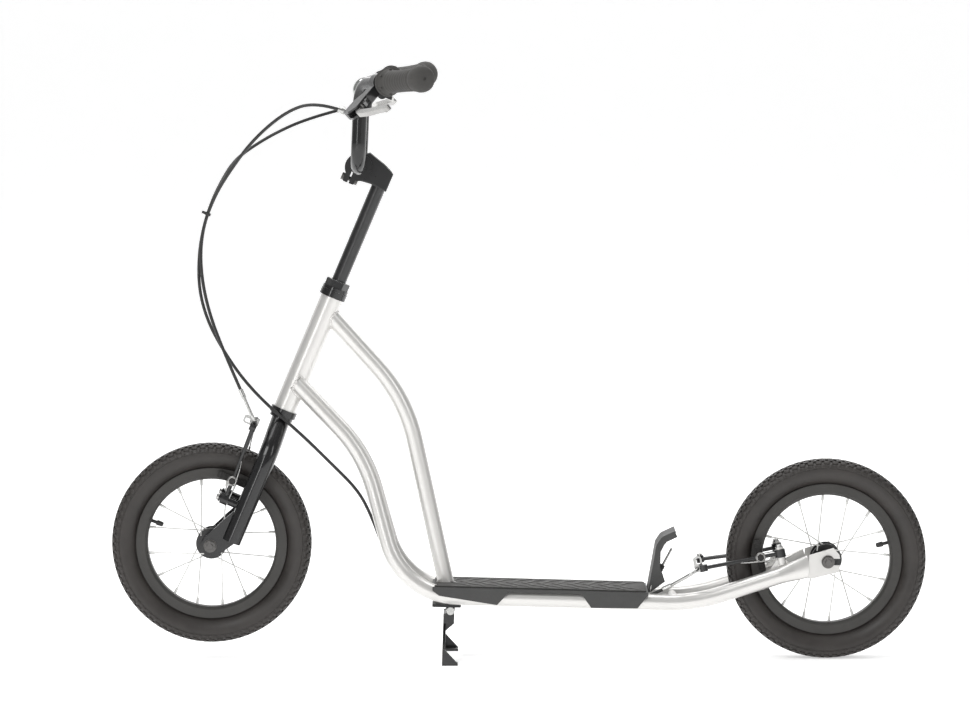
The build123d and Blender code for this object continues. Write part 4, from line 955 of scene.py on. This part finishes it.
class SCOOTER_OT_welds(Operator):
    """Rippled weld beads where the frame's tubes meet"""

    bl_idname = "scooter.welds"
    bl_label = "Weld beads"

    def execute(self, context):
        top, bend, foot = TOP_TUBE
        joints = [("top_tube_weld", top, (bend - top).normalized())]
        for side, hand in (("left", -1), ("right", 1)):
            start = fork_at(0, hand * RAIL_NOSE_SPREAD, RAIL_NOSE_HEIGHT)
            lower = ride_at(-0.7095, hand * RAIL_NOSE_SPREAD * 1.15, 0.142)
            joints.append((f"rail_weld_{side}", start, (lower - start).normalized()))
        for name, start, way in joints:
            side = (RIGHT - way * RIGHT.dot(way)).normalized()
            up = way.cross(side)
            steps = 72
            ring, sizes = [], []
            for index in range(steps):
                angle = 2 * math.pi * index / steps
                shift = side * math.cos(angle) * TUBE_RADIUS + up * math.sin(angle) * TUBE_RADIUS
                begin = start + shift - STEER_FOOT
                flat = begin - STEER_UP * begin.dot(STEER_UP)
                run = way - STEER_UP * way.dot(STEER_UP)
                a, b = run.dot(run), 2 * flat.dot(run)
                c = flat.dot(flat) - HEAD_TUBE_RADIUS ** 2
                reach = max(b * b - 4 * a * c, 0)
                along = (-b + math.sqrt(reach)) / (2 * a)
                if reach == 0:
                    along = -b / (2 * a)
                at = start + shift + way * along
                if name.startswith("rail") and at.y * start.y < 0:
                    at.y = math.copysign(0.0006, start.y)
                ring.append(at)
                sizes.append(1.0 + 0.22 * math.sin(index * math.pi / 2))
            bead = tube(name, ring, 0.0017, radii=sizes, ring=True)
            place(bead, "frame", "frame_silver")
        foot_way = (foot - bend).normalized()
        start = foot + foot_way * ((DECK_TOP - TOP_TUBE_FOOT) / foot_way.dot(UP))
        stretch = 1 / abs(foot_way.dot(UP))
        radius, steps = TUBE_RADIUS + 0.0004, 60
        ring, sizes = [], []
        for index in range(steps):
            angle = 2 * math.pi * index / steps
            ring.append(start + BACK * math.cos(angle) * radius * stretch
                        + RIGHT * math.sin(angle) * radius)
            sizes.append(1.0 + 0.2 * math.sin(index * math.pi / 2))
        place(tube("foot_weld", ring, 0.0022, radii=sizes, ring=True), "frame", "frame_silver")
        return {"FINISHED"}


class SCOOTER_OT_studio(Operator):
    """A plain pale floor that curves up behind, soft lamps and the camera"""

    bl_idname = "scooter.studio"
    bl_label = "Studio"

    def execute(self, context):
        settings = context.scene.scooter_studio
        width, front, rear = 30, -14, 6
        wall, wall_height, curve, close = 10, 10, 3.5, 0.1
        put_down()
        bpy.ops.mesh.primitive_plane_add(size=1, location=(0, (front + rear) / 2, 0))
        context.object.scale = (width, rear - front, 1)
        floor = named("floor")
        start_edit(floor)
        pick(floor, "edges", lambda at: at.y > rear - close)
        bpy.ops.mesh.extrude_edges_move(TRANSFORM_OT_translate={"value": (0, wall - rear, 0)})
        bpy.ops.mesh.extrude_edges_move(TRANSFORM_OT_translate={"value": (0, 0, wall_height)})
        bpy.ops.mesh.select_all(action="DESELECT")
        pick(floor, "edges", lambda at: at.y > wall - close and at.z < close)
        bpy.ops.mesh.bevel(offset=curve, segments=24)
        put_down()
        smooth(floor, 60)
        shader = nodes_of("studio_white")[-1]
        shader.inputs["Base Color"].default_value = (0.93, 0.93, 0.93, 1)
        shader.inputs["Roughness"].default_value = 0.9
        shader.inputs["Specular IOR Level"].default_value = 0.1
        shader.inputs["Emission Color"].default_value = (1, 1, 1, 1)
        shader.inputs["Emission Strength"].default_value = 0.50
        floor.data.materials.append(bpy.data.materials["studio_white"])

        aim = Vector((0, 0, 0.4))
        for name, at, size, power in (
            ("strip_lamp", (-1.9, -3.4, 1.5), (0.35, 2.6), 22),
            ("key_lamp", (-2.2, -3.0, 3.8), (2.4, 1.6), 62),
            ("fill_lamp", (3.2, -3.0, 2.2), (0.8, 2.2), 20),
            ("top_lamp", (0.0, 0.3, 4.0), (4.5, 2.0), 80),
            ("back_lamp", (0.6, 3.2, 2.8), (4.0, 2.0), 36),
        ):
            lamp = bpy.data.lights.new(name, "AREA")
            lamp.shape = "RECTANGLE"
            lamp.size, lamp.size_y = size
            lamp.energy = power * settings.light
            stand = bpy.data.objects.new(name, lamp)
            context.scene.collection.objects.link(stand)
            stand.location = at
            stand.rotation_euler = (aim - Vector(at)).to_track_quat("-Z", "Y").to_euler()
        world = bpy.data.worlds.new("studio")
        context.scene.world = world
        world.use_nodes = True
        background = world.node_tree.nodes["Background"]
        background.inputs[0].default_value = (1, 1, 1, 1)
        background.inputs[1].default_value = 0.30

        camera = bpy.data.cameras.new("camera")
        camera.lens = settings.lens
        camera.clip_end = 60
        eye = bpy.data.objects.new("camera", camera)
        context.scene.collection.objects.link(eye)
        down, roll, turn = (math.radians(angle) for angle in (4.182, 0.065, -0.069))
        eye.location = (-0.060, -settings.distance, 1.000)
        eye.rotation_euler = (math.pi / 2 - down, roll, turn)
        context.scene.camera = eye
        context.scene.view_settings.view_transform = "Standard"
        return {"FINISHED"}


class SCOOTER_PT_panel(Panel):
    """Lists the scooter's pieces, sizes and colours"""

    bl_label = "Kick scooter"
    bl_idname = "SCOOTER_PT_panel"
    bl_space_type = "VIEW_3D"
    bl_region_type = "UI"
    bl_category = "Kick scooter"

    def draw(self, context):
        for operator in OPERATORS:
            self.layout.operator(operator.bl_idname)
        for group in GROUPS:
            values = getattr(context.scene, group)
            box = self.layout.box()
            for name in values.bl_rna.properties.keys():
                if name not in ("rna_type", "name"):
                    box.prop(values, name)


GROUPS = {
    "scooter_colours": PaintColours,
    "scooter_tyres": TyreSizes,
    "scooter_grips": GripSizes,
    "scooter_mat": MatSizes,
    "scooter_studio": StudioSettings,
}
OPERATORS = (
    SCOOTER_OT_studio,
    SCOOTER_OT_finishes,
    SCOOTER_OT_cables,
    SCOOTER_OT_tyres,
    SCOOTER_OT_valves,
    SCOOTER_OT_grips,
    SCOOTER_OT_mat,
    SCOOTER_OT_brake_details,
    SCOOTER_OT_guard_strap,
    SCOOTER_OT_welds,
)


def register():
    """Add the sizes, operators and panel."""
    for made in (*GROUPS.values(), *OPERATORS, SCOOTER_PT_panel):
        bpy.utils.register_class(made)
    for name, group in GROUPS.items():
        setattr(bpy.types.Scene, name, PointerProperty(type=group))


def unregister():
    """Take them away again."""
    for name in GROUPS:
        delattr(bpy.types.Scene, name)
    for made in reversed((*GROUPS.values(), *OPERATORS, SCOOTER_PT_panel)):
        bpy.utils.unregister_class(made)


def main():
    """Make every piece on the frame."""
    register()
    put_down()
    bpy.ops.scooter.studio()
    bpy.ops.scooter.finishes()
    bpy.ops.scooter.cables()
    bpy.ops.scooter.tyres()
    bpy.ops.scooter.valves()
    bpy.ops.scooter.grips()
    bpy.ops.scooter.mat()
    bpy.ops.scooter.brake_details()
    bpy.ops.scooter.guard_strap()
    bpy.ops.scooter.welds()
    put_down()


if __name__ == "__main__":
    main()
